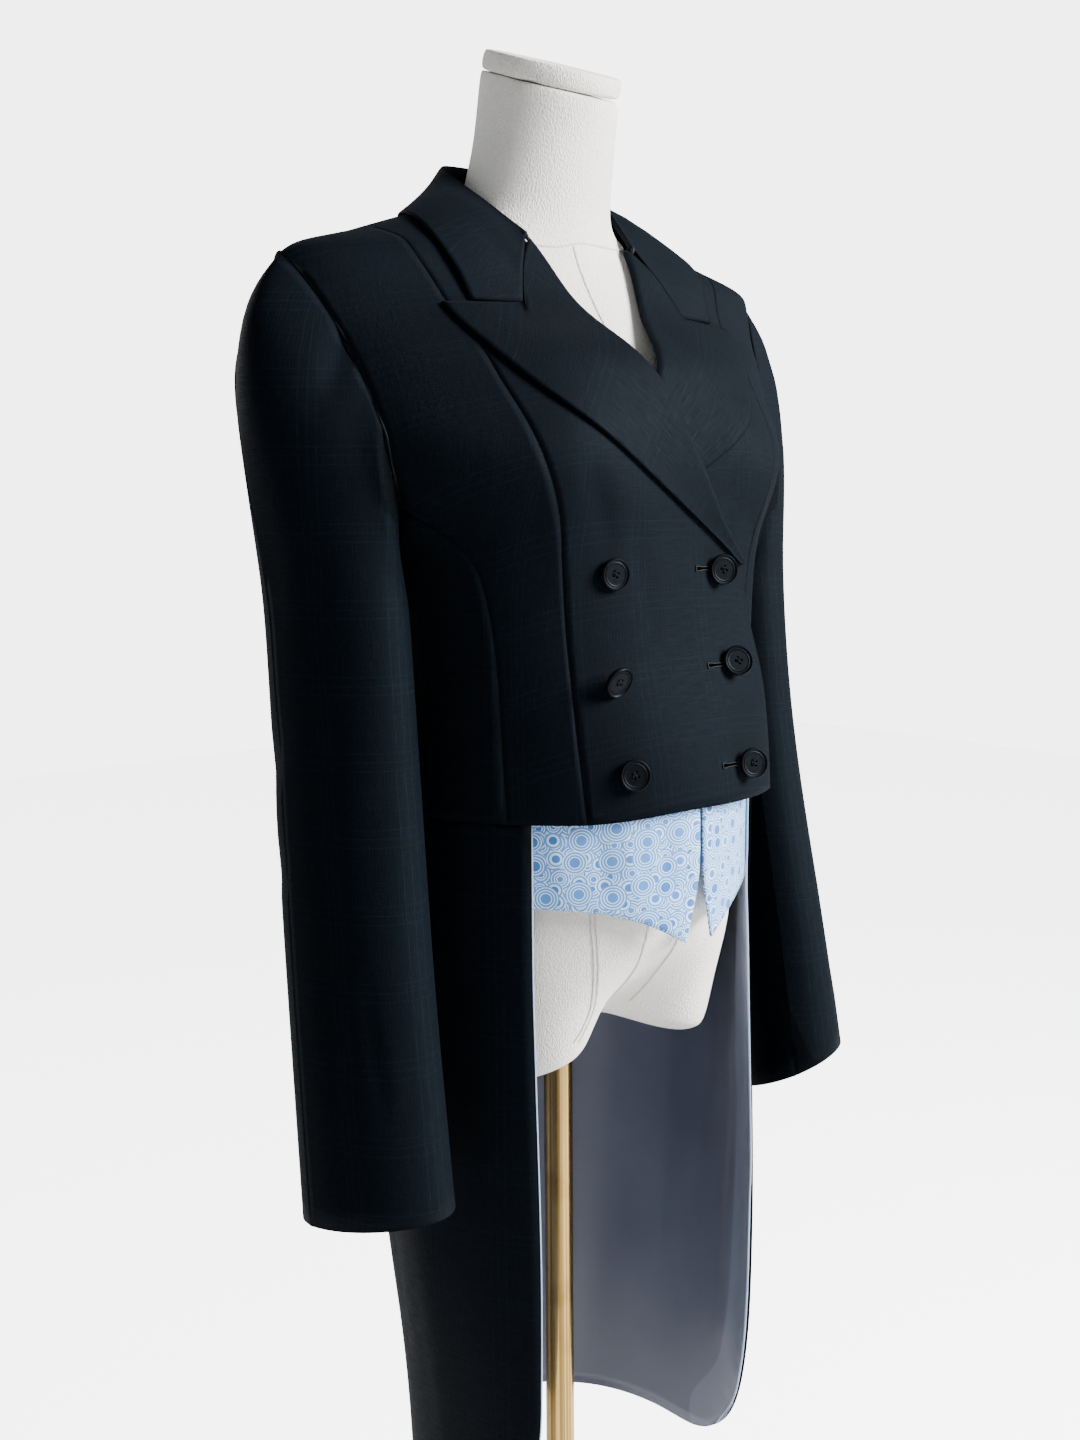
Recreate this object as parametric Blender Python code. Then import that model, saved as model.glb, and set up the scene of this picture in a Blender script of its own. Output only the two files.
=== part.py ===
"""A dressage tailcoat on a limbless dress form.

The coat is drawn on one smooth body surface. A point of that surface has an angle, 0 at the
centre front, 90 degrees at the wearer's left side and 180 at the centre back, and a level,
which is its height up to the shoulder tip and then runs on up the shoulder slope to the neck.
Each cut piece is the patch of that surface between its own seams, given the thickness of cloth.
Seams are drawn for the wearer's left side, and the right side is their mirror image.
Units are metres, +Z is up and the wearer faces -Y. The floor is at Z = 0.
"""

import math

import bpy
import numpy as np

CLOTH = 0.0014
SATIN = 0.0010
SEAM = 0.0003

WAIST = 0.998
HEM_RISE = 0.0062
FRONT_EDGE = -0.0745
BREAK_LEVEL = 1.157
NECK_LEVEL = 1.456
TIP_LEVEL = 1.3575
UNDERARM_LEVEL = 1.172
TAIL_HEM = 0.462
TAIL_RISE = 0.010
TAIL_ROUND = 0.150
TAIL_EDGE = 0.1050
TAIL_ROWS = 13
LINING_GAP = 0.0004
VEST_DEPTH = 0.0047
VEST_THICK = 0.0012

BUST_SIDE = 0.086
BUST_HEIGHT = 1.232
BUST_RISE = 0.015
BUST_SPREAD = 0.048

SHOULDER_SEAM_END = 0.1345
HINDARM_SEAM = math.radians(122)
FOREARM_SEAM = math.radians(-28)
CUFF_HEIGHT = 0.752
# Each cuff: how far it rises forwards, then outwards, and how far the whole of it is raised
CUFF_SLOPES = {1: (0.43, 0.31, 0.0042), -1: (0.16, 0.0, 0.0)}

LAPEL_ROLL = 0.0019
LAPEL_LIE = 0.0012
GORGE_SHARE = 0.55
GORGE_GAP = 0.0006
COLLAR_LIE = 0.0020
COLLAR_ARCH = 0.0022
OVERLAP_LIFT = 0.0014
CROSSING_LIFT = 0.0016
EDGE_STAND = 0.0118

BUTTON_RADIUS = 0.0105
BUTTON_THICK = 0.0036
BUTTON_WELL = 0.0012
BUTTON_RIM = 0.0024
BUTTON_SEAT = 0.0004

CAP_TILT = 0.36
CAP_HEIGHT = 1.4935
CAP_THICK = 0.0150
CAP_STEP = 0.0006
POLE_RADIUS = 0.0108
BASE_RADIUS = 0.155
BASE_THICK = 0.012
FORM_GAP = 0.0003

# Columns: level, height, half width, front, middle, back, squareness in front and behind
COAT_ROWS = (
    (0.440, 0.4400, 0.1180, -0.118, -0.0200, 0.105, 3.00, 2.20),
    (0.560, 0.5600, 0.1240, -0.128, -0.0120, 0.108, 3.00, 2.10),
    (0.680, 0.6800, 0.1360, -0.134, -0.0040, 0.117, 2.55, 2.10),
    (0.800, 0.8000, 0.1460, -0.138, 0.0000, 0.125, 2.08, 2.00),
    (0.920, 0.9200, 0.1510, -0.150, 0.0000, 0.125, 1.70, 1.95),
    (1.000, 1.0000, 0.1495, -0.151, 0.0000, 0.112, 1.72, 1.90),
    (1.060, 1.0600, 0.1450, -0.138, 0.0020, 0.097, 2.00, 2.00),
    (1.110, 1.1100, 0.1425, -0.124, 0.0040, 0.090, 2.40, 2.20),
    (1.170, 1.1700, 0.1495, -0.119, 0.0080, 0.097, 2.50, 2.30),
    (1.235, 1.2350, 0.1930, -0.113, 0.0120, 0.111, 2.40, 2.30),
    (1.290, 1.2900, 0.2060, -0.100, 0.0140, 0.116, 1.80, 2.10),
    (1.330, 1.3300, 0.2100, -0.058, 0.0150, 0.111, 1.80, 2.00),
    (TIP_LEVEL, 1.3575, 0.2112, -0.041, 0.0155, 0.104, 1.85, 1.90),
    (1.400, 1.3780, 0.1510, -0.026, 0.0155, 0.094, 1.90, 1.90),
    (1.440, 1.3960, 0.1000, -0.012, 0.0155, 0.083, 2.00, 2.00),
    (1.460, 1.4050, 0.0730, -0.002, 0.0155, 0.074, 2.00, 2.00),
    (1.480, 1.4140, 0.0600, 0.004, 0.0155, 0.068, 2.00, 2.00),
)

# Columns: share of the way up the armhole, its scoop in front and behind
ARMHOLE_ROWS = (
    (0.00, 0.0680, 0.060), (0.15, 0.0670, 0.062), (0.34, 0.0650, 0.063), (0.48, 0.0545, 0.063),
    (0.62, 0.0445, 0.061), (0.72, 0.0395, 0.058), (0.82, 0.0320, 0.053), (0.91, 0.0265, 0.046),
    (1.00, 0.0160, 0.036),
)

# Columns: level, distance from the centre, for seams and edges on the front
PRINCESS_SEAM = (
    (0.998, 0.0785), (1.046, 0.0818), (1.091, 0.0836), (1.1415, 0.0858), (1.184, 0.0900),
    (1.204, 0.0965), (1.222, 0.1035), (1.244, 0.1100), (1.269, 0.1150), (1.292, 0.1190),
    (1.311, 0.1225), (1.3335, 0.1270), (1.346, 0.1315), (1.367, 0.1385), (1.395, 0.1385),
)
SIDE_SEAM = ((0.998, 0.1150), (1.110, 0.1190), (1.170, 0.1300))
ROLL_LINE = (
    (BREAK_LEVEL, FRONT_EDGE), (1.170, -0.0610), (1.184, -0.0460), (1.202, -0.0345),
    (1.231, -0.0205), (1.250, -0.0120), (1.269, -0.0040), (1.281, 0.0035), (1.298, 0.0145),
    (1.320, 0.0255), (1.341, 0.0360), (1.366, 0.0420), (1.394, 0.0455),
)
LAPEL_EDGE = (
    (BREAK_LEVEL, FRONT_EDGE), (1.168, -0.0580), (1.179, -0.0375), (1.200, -0.0060),
    (1.220, 0.0244), (1.233, 0.0465), (1.247, 0.0680), (1.259, 0.0830), (1.273, 0.0963),
    (1.287, 0.1075), (1.300, 0.1175), (1.311, 0.1240), (1.3265, 0.1300),
)
GORGE_END = (1.3286, 0.0725)
COLLAR_CORNER = (1.3286, 0.1100)

# Columns: level, distance from the centre, for the side-back seam
SIDE_BACK_SEAM = (
    (0.458, 0.0580), (0.700, 0.0560), (0.998, 0.0460), (1.090, 0.0460), (1.160, 0.0620),
    (1.200, 0.0860),
)
SIDE_BACK_TOP = 1.245
SIDE_SEAM_TOP = 1.200

# Columns: share of the way from the gorge to the centre back, fold x, y, z
COLLAR_FOLD = (
    (0.00, 0.0483, -0.0285, 1.3788),
    (0.12, 0.0535, -0.0165, 1.3885),
    (0.25, 0.0600, 0.0020, 1.4030),
    (0.45, 0.0690, 0.0250, 1.4200),
    (0.65, 0.0580, 0.0520, 1.4320),
    (0.83, 0.0330, 0.0700, 1.4385),
    (1.00, 0.0000, 0.0765, 1.4405),
)
# Columns: share, angle in degrees and level of the collar's outer edge on the coat
COLLAR_EDGE = (
    (0.00, 61.2, 1.3286), (0.07, 64.6, 1.3417), (0.14, 68.2, 1.3556), (0.27, 75.6, 1.3894),
    (0.40, 86.2, 1.4230), (0.52, 100.0, 1.4320), (0.65, 121.0, 1.4300), (0.83, 150.0, 1.4290),
    (1.00, 180.0, 1.4280),
)
# Columns: share, angle in degrees and level of the neckline where the collar is sewn
NECKLINE = (
    (0.00, 50.0, 1.3950), (0.12, 61.0, 1.4170), (0.25, 74.0, 1.4360), (0.45, 92.0, NECK_LEVEL),
    (0.65, 121.0, NECK_LEVEL), (0.83, 150.0, NECK_LEVEL), (1.00, 180.0, NECK_LEVEL),
)

# Columns: height, centre x, centre y, long half axis, short half axis, turn in degrees
SLEEVE_ROWS = (
    (0.720, 0.2010, -0.0570, 0.0540, 0.0390, 22.0),
    (0.800, 0.1990, -0.0455, 0.0535, 0.0375, 21.0),
    (0.900, 0.1955, -0.0300, 0.0530, 0.0360, 20.0),
    (1.000, 0.1905, -0.0150, 0.0530, 0.0355, 20.0),
    (1.060, 0.1880, -0.0070, 0.0530, 0.0350, 19.0),
    (1.125, 0.1870, -0.0010, 0.0530, 0.0350, 18.0),
)
SLEEVE_TOP = 1.125

# Columns: height, half width, front, middle, back, squareness of the dress form's rings
FORM_ROWS = (
    (0.790, 0.1000, -0.094, 0.0150, 0.098, 2.00),
    (0.850, 0.1220, -0.112, 0.0080, 0.110, 1.95),
    (0.920, 0.1370, -0.134, 0.0030, 0.113, 1.75),
    (1.000, 0.1360, -0.136, 0.0000, 0.100, 1.75),
    (1.060, 0.1270, -0.123, 0.0020, 0.085, 1.90),
    (1.110, 0.1160, -0.108, 0.0040, 0.077, 2.10),
    (1.170, 0.1260, -0.104, 0.0080, 0.084, 2.20),
    (1.235, 0.1480, -0.097, 0.0120, 0.100, 2.20),
    (1.290, 0.1640, -0.079, 0.0140, 0.104, 1.90),
    (1.330, 0.1600, -0.053, 0.0150, 0.099, 1.75),
    (1.3575, 0.1500, -0.038, 0.0155, 0.092, 1.65),
    (1.3750, 0.0960, -0.030, 0.0155, 0.083, 1.55),
    (1.3920, 0.0610, -0.028, 0.0155, 0.076, 1.80),
    (1.4080, 0.0535, -0.030, 0.0150, 0.073, 2.00),
    (1.4250, 0.0530, -0.035, 0.0130, 0.066, 2.00),
    (1.4500, 0.0490, -0.041, 0.0080, 0.058, 2.00),
    (1.4850, 0.0475, -0.046, 0.0020, 0.051, 2.00),
    (1.5100, 0.0475, -0.047, 0.0010, 0.049, 2.00),
)
FORM_BUST_RISE = 0.014
CROTCH_HEIGHT = 0.836
CROTCH_SLOPE = 0.50
CROTCH_ROUND = 0.014
LEG_GROOVE = 0.066
LEG_GROOVE_WIDTH = 0.039

# Columns: level, distance from the centre, along the vest point's lower edge
VEST_LOWER = ((0.9430, 0.1130), (0.9385, 0.0700), (0.9285, 0.0400), (0.9125, 0.0130))
VEST_NOTCH = (0.9570, 0.0016)
VEST_TOP = 1.0130

# Columns for each side: level, distance from the centre
BUTTON_ROWS = {-1: ((1.157, 0.0535), (1.093, 0.0500), (1.029, 0.0515)),
               1: ((1.157, 0.0410), (1.093, 0.0425), (1.0265, 0.0390))}
LOOSE_BUTTON_DROP = 0.0045
LOOSE_BUTTON_SLIP = 0.0075
# Buttons that lean on their thread: degrees off the cloth, and the way of the raised side
BUTTON_LEANS = {(1, 0): (24.0, 0.0), (1, 1): (26.0, 0.0), (1, 2): (26.0, 0.0), (-1, 1): (37.0, 116.0)}


def clear_scene():
    """Take every object out of the open file."""
    for thing in list(bpy.data.objects):
        bpy.data.objects.remove(thing, do_unlink=True)


def smooth_rows(rows):
    """Return a function of the first column that reads the others on smooth, unswelling curves."""
    table = np.array(rows, float)
    places, values = table[:, 0], table[:, 1:]
    gaps = np.diff(places)[:, None]
    rises = np.diff(values, axis=0) / gaps
    slopes = np.zeros_like(values)
    slopes[0] = rises[0]
    slopes[-1] = rises[-1]
    product = rises[1:] * rises[:-1]
    with np.errstate(divide="ignore", invalid="ignore"):
        shared = 2.0 * product / (rises[1:] + rises[:-1])
    slopes[1:-1] = np.where(product > 0.0, shared, 0.0)

    def read(where):
        where = np.clip(np.asarray(where, float), places[0], places[-1])
        cell = np.clip(np.searchsorted(places, where, side="right") - 1, 0, len(places) - 2)
        gap = gaps[cell]
        share = (where - places[cell])[..., None] / gap
        start = (1.0 + 2.0 * share) * (1.0 - share) ** 2
        end = share ** 2 * (3.0 - 2.0 * share)
        leave = share * (1.0 - share) ** 2 * gap
        arrive = share ** 2 * (share - 1.0) * gap
        return (start * values[cell] + end * values[cell + 1]
                + leave * slopes[cell] + arrive * slopes[cell + 1])

    return read


def ramp(value, low, high):
    """Rise smoothly from 0 at low to 1 at high."""
    share = np.clip((np.asarray(value, float) - low) / (high - low), 0.0, 1.0)
    return share * share * (3.0 - 2.0 * share)


coat_row = smooth_rows(COAT_ROWS)
form_row = smooth_rows(FORM_ROWS)
sleeve_row = smooth_rows(SLEEVE_ROWS)


def ring_point(angle, half, front, middle, back, square_front, square_back):
    """Return x and y of a ring whose front and back differ, at an angle from the front."""
    across = np.hypot(np.sin(angle), 0.04)
    along = np.cos(angle)
    depth = np.where(along > 0.0, middle - front, back - middle)
    square = square_back + (square_front - square_back) * ramp(along, -0.25, 0.25)
    reach = (across / half) ** square + (np.abs(along) / depth) ** square
    reach = reach ** (-1.0 / square)
    return reach * np.sin(angle), middle - reach * along


def bust(x, height, angle, rise):
    """Return how far the bust brings a front point forward."""
    side = (np.abs(x) - BUST_SIDE) / BUST_SPREAD
    lift = (height - BUST_HEIGHT) / BUST_SPREAD
    return rise * np.exp(-side ** 2 - lift ** 2) * ramp(np.cos(angle), 0.05, 0.45)


def coat_point(angle, level):
    """Return the coat's outer surface at an angle and a level."""
    height, half, front, middle, back, ahead, behind = np.moveaxis(coat_row(level), -1, 0)
    x, y = ring_point(angle, half, front, middle, back, ahead, behind)
    y = y - bust(x, height, angle, BUST_RISE)
    return np.stack([x, y, height], -1)


def unit(vectors):
    """Scale vectors to length 1."""
    return vectors / np.maximum(np.linalg.norm(vectors, axis=-1, keepdims=True), 1e-12)


def coat_shell(angle, level, rise):
    """Return points that lie a given height above the coat's outer surface."""
    step = 1e-4
    around = coat_point(angle + step, level) - coat_point(angle - step, level)
    up = coat_point(angle, level + step) - coat_point(angle, level - step)
    return coat_point(angle, level) + unit(np.cross(around, up)) * np.asarray(rise)[..., None]


def angle_at(level, x, behind=False):
    """Return the angle at which the ring of a level stands x from the centre."""
    level, x = np.broadcast_arrays(np.asarray(level, float), np.asarray(x, float))
    spread = np.linspace(math.pi, math.pi / 2.0, 181) if behind else np.linspace(0.0, 1.62, 181)
    shape = level.shape + spread.shape
    angles = np.broadcast_to(spread, shape)
    reach = coat_point(angles, np.broadcast_to(level[..., None], shape))[..., 0]
    rising = np.maximum.accumulate(reach, axis=-1).reshape(-1, len(spread))
    found = [np.interp(abs(place), run, spread) for place, run in zip(x.ravel(), rising)]
    return np.array(found).reshape(level.shape) * np.where(x < 0.0, -1.0, 1.0)


def front_wire(rows, levels):
    """Turn a front seam's table into angles at the given levels."""
    return angle_at(levels, smooth_rows(rows)(levels)[..., 0])


def armhole(turn):
    """Return angle and level of the armhole, at a turn of 0 in front and 90 degrees at the tip."""
    turn = np.asarray(turn, float)
    share = (1.0 + np.sin(turn)) / 2.0
    level = UNDERARM_LEVEL + (TIP_LEVEL - UNDERARM_LEVEL) * share
    ahead, behind = np.moveaxis(smooth_rows(ARMHOLE_ROWS)(share), -1, 0)
    away = np.cos(turn) * np.where(np.cos(turn) > 0.0, ahead, behind)
    height, half, front, middle, back, tight, loose = np.moveaxis(coat_row(level), -1, 0)
    depth = np.where(away > 0.0, middle - front, back - middle)
    square = np.where(away > 0.0, tight, loose)
    x = half * np.clip(1.0 - (np.abs(away) / depth) ** square, 0.0, 1.0) ** (1.0 / square)
    return np.arctan2(x, away), level


def armhole_turn(level, behind=False):
    """Return the turn at which the armhole reaches a level, in front or behind."""
    share = (level - UNDERARM_LEVEL) / (TIP_LEVEL - UNDERARM_LEVEL)
    turn = math.asin(2.0 * share - 1.0)
    return math.pi - turn if behind else turn


def patch(left, right, bottom, top, fade=1.0):
    """Fill a four-sided patch from its edges, given as (angle, level) rows running up and across.

    Each row runs straight from the left edge to the right one. The bend of the bottom and top
    edges is added to it, and dies away with distance from that edge at the power of fade.
    """
    left, right, bottom, top = (np.stack(edge, -1) for edge in (left, right, bottom, top))
    up = np.linspace(0.0, 1.0, len(left))[:, None, None]
    across = np.linspace(0.0, 1.0, len(bottom))[None, :, None]
    sides = left[:, None] * (1.0 - across) + right[:, None] * across
    low_bend = bottom[None] - (bottom[0] * (1.0 - across) + bottom[-1] * across)
    high_bend = top[None] - (top[0] * (1.0 - across) + top[-1] * across)
    grid = sides + low_bend * (1.0 - up) ** fade + high_bend * up ** fade
    return grid[..., 0], grid[..., 1]


def line(start, end, count):
    """Return evenly spaced (angle, level) rows from one place to another."""
    share = np.linspace(0.0, 1.0, count)
    return tuple(a + (b - a) * share for a, b in zip(start, end))


def join_rows(*runs):
    """Join runs of (angle, level) rows end to end, leaving out the doubled joints."""
    angles = np.concatenate([runs[0][0]] + [run[0][1:] for run in runs[1:]])
    levels = np.concatenate([runs[0][1]] + [run[1][1:] for run in runs[1:]])
    return angles, levels


def pull_in(grid, width=SEAM / 2.0):
    """Draw a grid's four edges in by half a seam gap, along its own surface."""
    grid = grid.copy()
    for edge, inner in ((0, 1), (-1, -2)):
        grid[edge] = grid[edge] + unit(grid[inner] - grid[edge]) * width
    for edge, inner in ((0, 1), (-1, -2)):
        grid[:, edge] = grid[:, edge] + unit(grid[:, inner] - grid[:, edge]) * width
    return grid


def surface_normals(grid):
    """Return the unit normals of a grid of points."""
    return unit(np.cross(np.gradient(grid, axis=1), np.gradient(grid, axis=0)))


def finish(thing, material):
    """Give an object its material and smooth shading with sharp rims."""
    thing.data.materials.append(material)
    thing.data.shade_smooth()
    thing.data.set_sharp_from_angle(angle=math.radians(35))
    return thing


def new_object(name, points, faces, material):
    """Make an object of one closed mesh."""
    mesh = bpy.data.meshes.new(name)
    mesh.from_pydata([tuple(point) for point in points], [], faces)
    mesh.update()
    mesh.validate()
    thing = bpy.data.objects.new(name, mesh)
    bpy.context.collection.objects.link(thing)
    return finish(thing, material)


def make_wall(name, outer, inner, material):
    """Close the space between two grids of points into one solid wall of triangles."""
    rows, columns = outer.shape[:2]
    side = np.arange(rows * columns).reshape(rows, columns)
    here, after = side[:-1, :-1], side[:-1, 1:]
    above, across = side[1:, :-1], side[1:, 1:]
    skin = np.concatenate([
        np.stack([here, after, across], -1).reshape(-1, 3),
        np.stack([here, across, above], -1).reshape(-1, 3),
    ])
    rim = np.concatenate([side[0, :], side[1:, -1], side[-1, -2::-1], side[-2:0:-1, 0]])
    ahead = np.roll(rim, -1)
    count = rows * columns
    faces = np.concatenate([
        skin, skin[:, ::-1] + count,
        np.stack([ahead, rim, rim + count], -1), np.stack([ahead, rim + count, ahead + count], -1),
    ])
    points = np.concatenate([outer.reshape(-1, 3), inner.reshape(-1, 3)])
    mirrored = np.sum(np.cross(np.gradient(outer, axis=1), np.gradient(outer, axis=0))
                      * (outer - inner)) < 0.0
    if mirrored:
        faces = faces[:, ::-1]
    return new_object(name, points, faces.tolist(), material)


def mirror_of(points, side):
    """Return points for the wearer's left side (1) or, mirrored, for the right (-1)."""
    return points * np.array([side, 1.0, 1.0])


def front_lift(angle, level, side):
    """Return how far the right front stands out, and the left one sinks, where they overlap.

    Below the lapel the right front also swings off the form towards its free edge.
    """
    x = coat_point(angle, level)[..., 0]
    over = 1.0 - ramp(x, 0.076, 0.112)
    crossed = 1.0 - ramp(x, 0.035, 0.095)
    crossing = ramp(level, 1.178, 1.208)
    fading = 1.0 - ramp(level, 1.285, 1.325)
    overlap = -side * fading * (OVERLAP_LIFT * over + CROSSING_LIFT * crossed * crossing)
    swing = ramp(-x, -0.010, -FRONT_EDGE) * (1.0 - ramp(level, 1.070, BREAK_LEVEL))
    return overlap + (EDGE_STAND * swing if side < 0 else 0.0)


def coat_panel(name, angle, level, side, material, depth=0.0, thick=CLOTH, lifted=False):
    """Make a wall of cloth on the coat's surface, its outside a given depth below it."""
    lift = front_lift(angle, level, side) if lifted else 0.0
    outer = pull_in(coat_shell(angle, level, lift - depth + 0.0 * angle))
    inner = pull_in(coat_shell(angle, level, lift - depth - thick + 0.0 * angle))
    return make_wall(name, mirror_of(outer, side), mirror_of(inner, side), material)


def side_name(side):
    """Return the wearer's side as a word."""
    return "left" if side > 0 else "right"


def shoulder_level(x):
    """Return the level at which the shoulder ridge stands x from the centre."""
    levels = np.linspace(TIP_LEVEL, NECK_LEVEL, 200)
    return float(np.interp(-x, -coat_row(levels)[..., 1], levels))


def quarter():
    """Return a right angle, which is where the shoulder ridge lies."""
    return math.pi / 2.0


def neckline(shares):
    """Return angle and level of the neckline, from the gorge at 0 to the centre back at 1."""
    angle, level = np.moveaxis(smooth_rows(NECKLINE)(shares), -1, 0)
    return np.radians(angle), level


def princess_levels():
    """Return the levels of the rows that end on the princess seam, on both of its sides."""
    low = np.linspace(WAIST, BREAK_LEVEL, 8)
    high = np.linspace(BREAK_LEVEL, shoulder_level(SHOULDER_SEAM_END), 20)
    return np.concatenate([low, high[1:]])


def princess_angle(levels):
    """Return the princess seam's angle, which ends on the shoulder ridge."""
    top = shoulder_level(SHOULDER_SEAM_END)
    angle = front_wire(PRINCESS_SEAM, levels)
    return angle + (quarter() - angle) * ramp(levels, 1.388, top)


def build_front(side, material):
    """Make the centre front, from its free edge and roll line to the princess seam."""
    columns = 8
    low = np.linspace(WAIST + HEM_RISE, BREAK_LEVEL, 8)
    edge = (angle_at(low, FRONT_EDGE), low)
    roll = np.linspace(BREAK_LEVEL, ROLL_LINE[-1][0], 15)
    rolled = (front_wire(ROLL_LINE, roll), roll)
    neck_angle, neck_level = neckline(np.array([0.0, 0.10, 0.16, 0.24, 0.33, 0.43]))
    neck_angle[0], neck_level[0] = rolled[0][-1], roll[-1]
    left = join_rows(edge, rolled, (neck_angle, neck_level))
    levels = princess_levels()
    right = (princess_angle(levels), levels)
    hem, hem_level = line((left[0][0], WAIST), (right[0][0], WAIST), columns)
    across = coat_point(hem, hem_level)[..., 0]
    bottom = (hem, hem_level + HEM_RISE * (1.0 - ramp(across, 0.010, 0.0785)))
    top = line((left[0][-1], left[1][-1]), (right[0][-1], right[1][-1]), columns)
    angle, level = patch(left, right, bottom, top)
    return coat_panel("front_" + side_name(side), angle, level, side, material, lifted=True)


def side_front_rows(levels):
    """Return the seam between front and side body, then the armhole, at the given levels."""
    start = armhole(armhole_turn(SIDE_SEAM_TOP))
    table = SIDE_SEAM + ((SIDE_SEAM_TOP, float(coat_point(start[0], start[1])[0])),)
    seam = smooth_rows(table)(np.minimum(levels, SIDE_SEAM_TOP))[..., 0]
    angle = angle_at(np.minimum(levels, SIDE_SEAM_TOP), seam)
    above = np.clip(levels, SIDE_SEAM_TOP, TIP_LEVEL)
    share = np.clip((above - UNDERARM_LEVEL) / (TIP_LEVEL - UNDERARM_LEVEL), 0.0, 1.0)
    hole, hole_level = armhole(np.arcsin(np.clip(2.0 * share - 1.0, -1.0, 1.0)))
    return np.where(levels > SIDE_SEAM_TOP, hole, angle), levels


def tip_levels(start, count):
    """Return levels from a start to the shoulder tip, closer together near the tip."""
    turns = np.linspace(armhole_turn(start), quarter(), count)
    return armhole(turns)[1]


def build_side_front(side, material):
    """Make the panel between the princess seam and the side seam and armhole."""
    columns = 5
    left_levels = princess_levels()
    left = (princess_angle(left_levels), left_levels)
    right_levels = np.concatenate([
        np.linspace(WAIST, SIDE_SEAM_TOP, 11),
        tip_levels(SIDE_SEAM_TOP, len(left_levels) - 10)[1:],
    ])
    right = side_front_rows(right_levels)
    bottom = line((left[0][0], WAIST), (right[0][0], WAIST), columns)
    top = line((quarter(), left[1][-1]), (quarter(), TIP_LEVEL), columns)
    angle, level = patch(left, right, bottom, top)
    name = "side_front_" + side_name(side)
    return coat_panel(name, angle, level, side, material, lifted=True)


def side_back_angle(levels):
    """Return the side-back seam's angle, which ends on the back of the armhole."""
    hole = armhole(armhole_turn(SIDE_BACK_TOP, behind=True))
    end = float(coat_point(hole[0], hole[1])[0])
    table = SIDE_BACK_SEAM + ((SIDE_BACK_TOP, end),)
    return angle_at(levels, smooth_rows(table)(levels)[..., 0], behind=True)


def build_side_body(side, material):
    """Make the panel under the arm, from the side seam to the side-back seam."""
    rows, columns = 11, 9
    left_levels = np.linspace(WAIST, SIDE_SEAM_TOP, rows)
    left = side_front_rows(left_levels)
    right_levels = np.linspace(WAIST, SIDE_BACK_TOP, rows)
    right = (side_back_angle(right_levels), right_levels)
    bottom = line((left[0][0], WAIST), (right[0][0], WAIST), columns)
    start = armhole_turn(SIDE_SEAM_TOP)
    end = armhole_turn(SIDE_BACK_TOP, behind=True) - 2.0 * math.pi
    top = armhole(np.linspace(start, end, columns))
    angle, level = patch(left, right, bottom, top, 2.0)
    return coat_panel("side_body_" + side_name(side), angle, level, side, material)


def back_grid():
    """Return the back's patch, from the hem of the tail to the shoulder and neck."""
    low = np.linspace(tail_hem(side_back_angle(np.array(TAIL_HEM))), WAIST, TAIL_ROWS)
    mid = np.linspace(WAIST, SIDE_BACK_TOP, 11)
    seam_levels = np.concatenate([low, mid[1:]])
    seam = (side_back_angle(seam_levels), seam_levels)
    turns = np.linspace(armhole_turn(SIDE_BACK_TOP, behind=True), quarter(), 7)
    left = join_rows(seam, armhole(turns))
    share = (left[1] - WAIST) / (TIP_LEVEL - WAIST)
    centre_levels = np.where(share > 0.0, WAIST + (NECK_LEVEL - WAIST) * share, left[1])
    centre_levels[0] = tail_hem(math.pi)
    right = (np.full_like(centre_levels, math.pi), centre_levels)
    ridge = line((quarter(), TIP_LEVEL), (quarter(), NECK_LEVEL), 4)
    neck = line((quarter(), NECK_LEVEL), (math.pi, NECK_LEVEL), 5)
    top = join_rows(ridge, neck)
    across = np.linspace(left[0][0], math.pi, len(top[0]))
    bottom = (across, tail_hem(across))
    return patch(left, right, bottom, top, 9.0)


def build_back(side, material):
    """Make the back in one length, from the shoulder and neck to the hem of the tail."""
    angle, level = back_grid()
    return coat_panel("back_" + side_name(side), angle, level, side, material)


def tail_hem(angle):
    """Return the tail hem's level, which rises a little towards the centre back."""
    return TAIL_HEM + TAIL_RISE * ramp(angle, quarter(), math.pi)


def tail_front_edge(count_up, count_round):
    """Return the tail's front edge from the waist down and round to its hem."""
    straight = np.linspace(WAIST, TAIL_HEM + TAIL_ROUND, count_up)
    angle = angle_at(straight, TAIL_EDGE)
    turns = np.linspace(0.0, math.pi / 2.0, count_round)
    start = angle[-1]
    end = math.radians(88.0)
    curve = (start + (end - start) * (1.0 - np.cos(turns)),
             TAIL_HEM + TAIL_ROUND * (1.0 - np.sin(turns)))
    return join_rows((angle, straight), curve)


def skirt_grid():
    """Return the patch of the tail's skirt, from its rounded front edge to the side-back seam."""
    columns = 10
    edge = tail_front_edge(9, 9)
    left = (edge[0][:TAIL_ROWS][::-1], edge[1][:TAIL_ROWS][::-1])
    corner = (edge[0][TAIL_ROWS - 1:], edge[1][TAIL_ROWS - 1:])
    end_angle = float(side_back_angle(np.array(TAIL_HEM)))
    end_level = float(tail_hem(end_angle))
    hem = line((corner[0][-1], TAIL_HEM), (end_angle, end_level), columns - len(corner[0]) + 1)
    bottom = join_rows(corner, hem)
    right_levels = np.linspace(end_level, WAIST, TAIL_ROWS)
    right = (side_back_angle(right_levels), right_levels)
    bottom[0][-1] = right[0][0]
    top = line((left[0][-1], WAIST), (right[0][-1], WAIST), columns)
    return patch(left, right, bottom, top, 3.0)


def build_skirt(side, material):
    """Make the tail's skirt, sewn on at the waist, from its front edge to the side-back seam."""
    angle, level = skirt_grid()
    return coat_panel("tail_skirt_" + side_name(side), angle, level, side, material)


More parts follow.
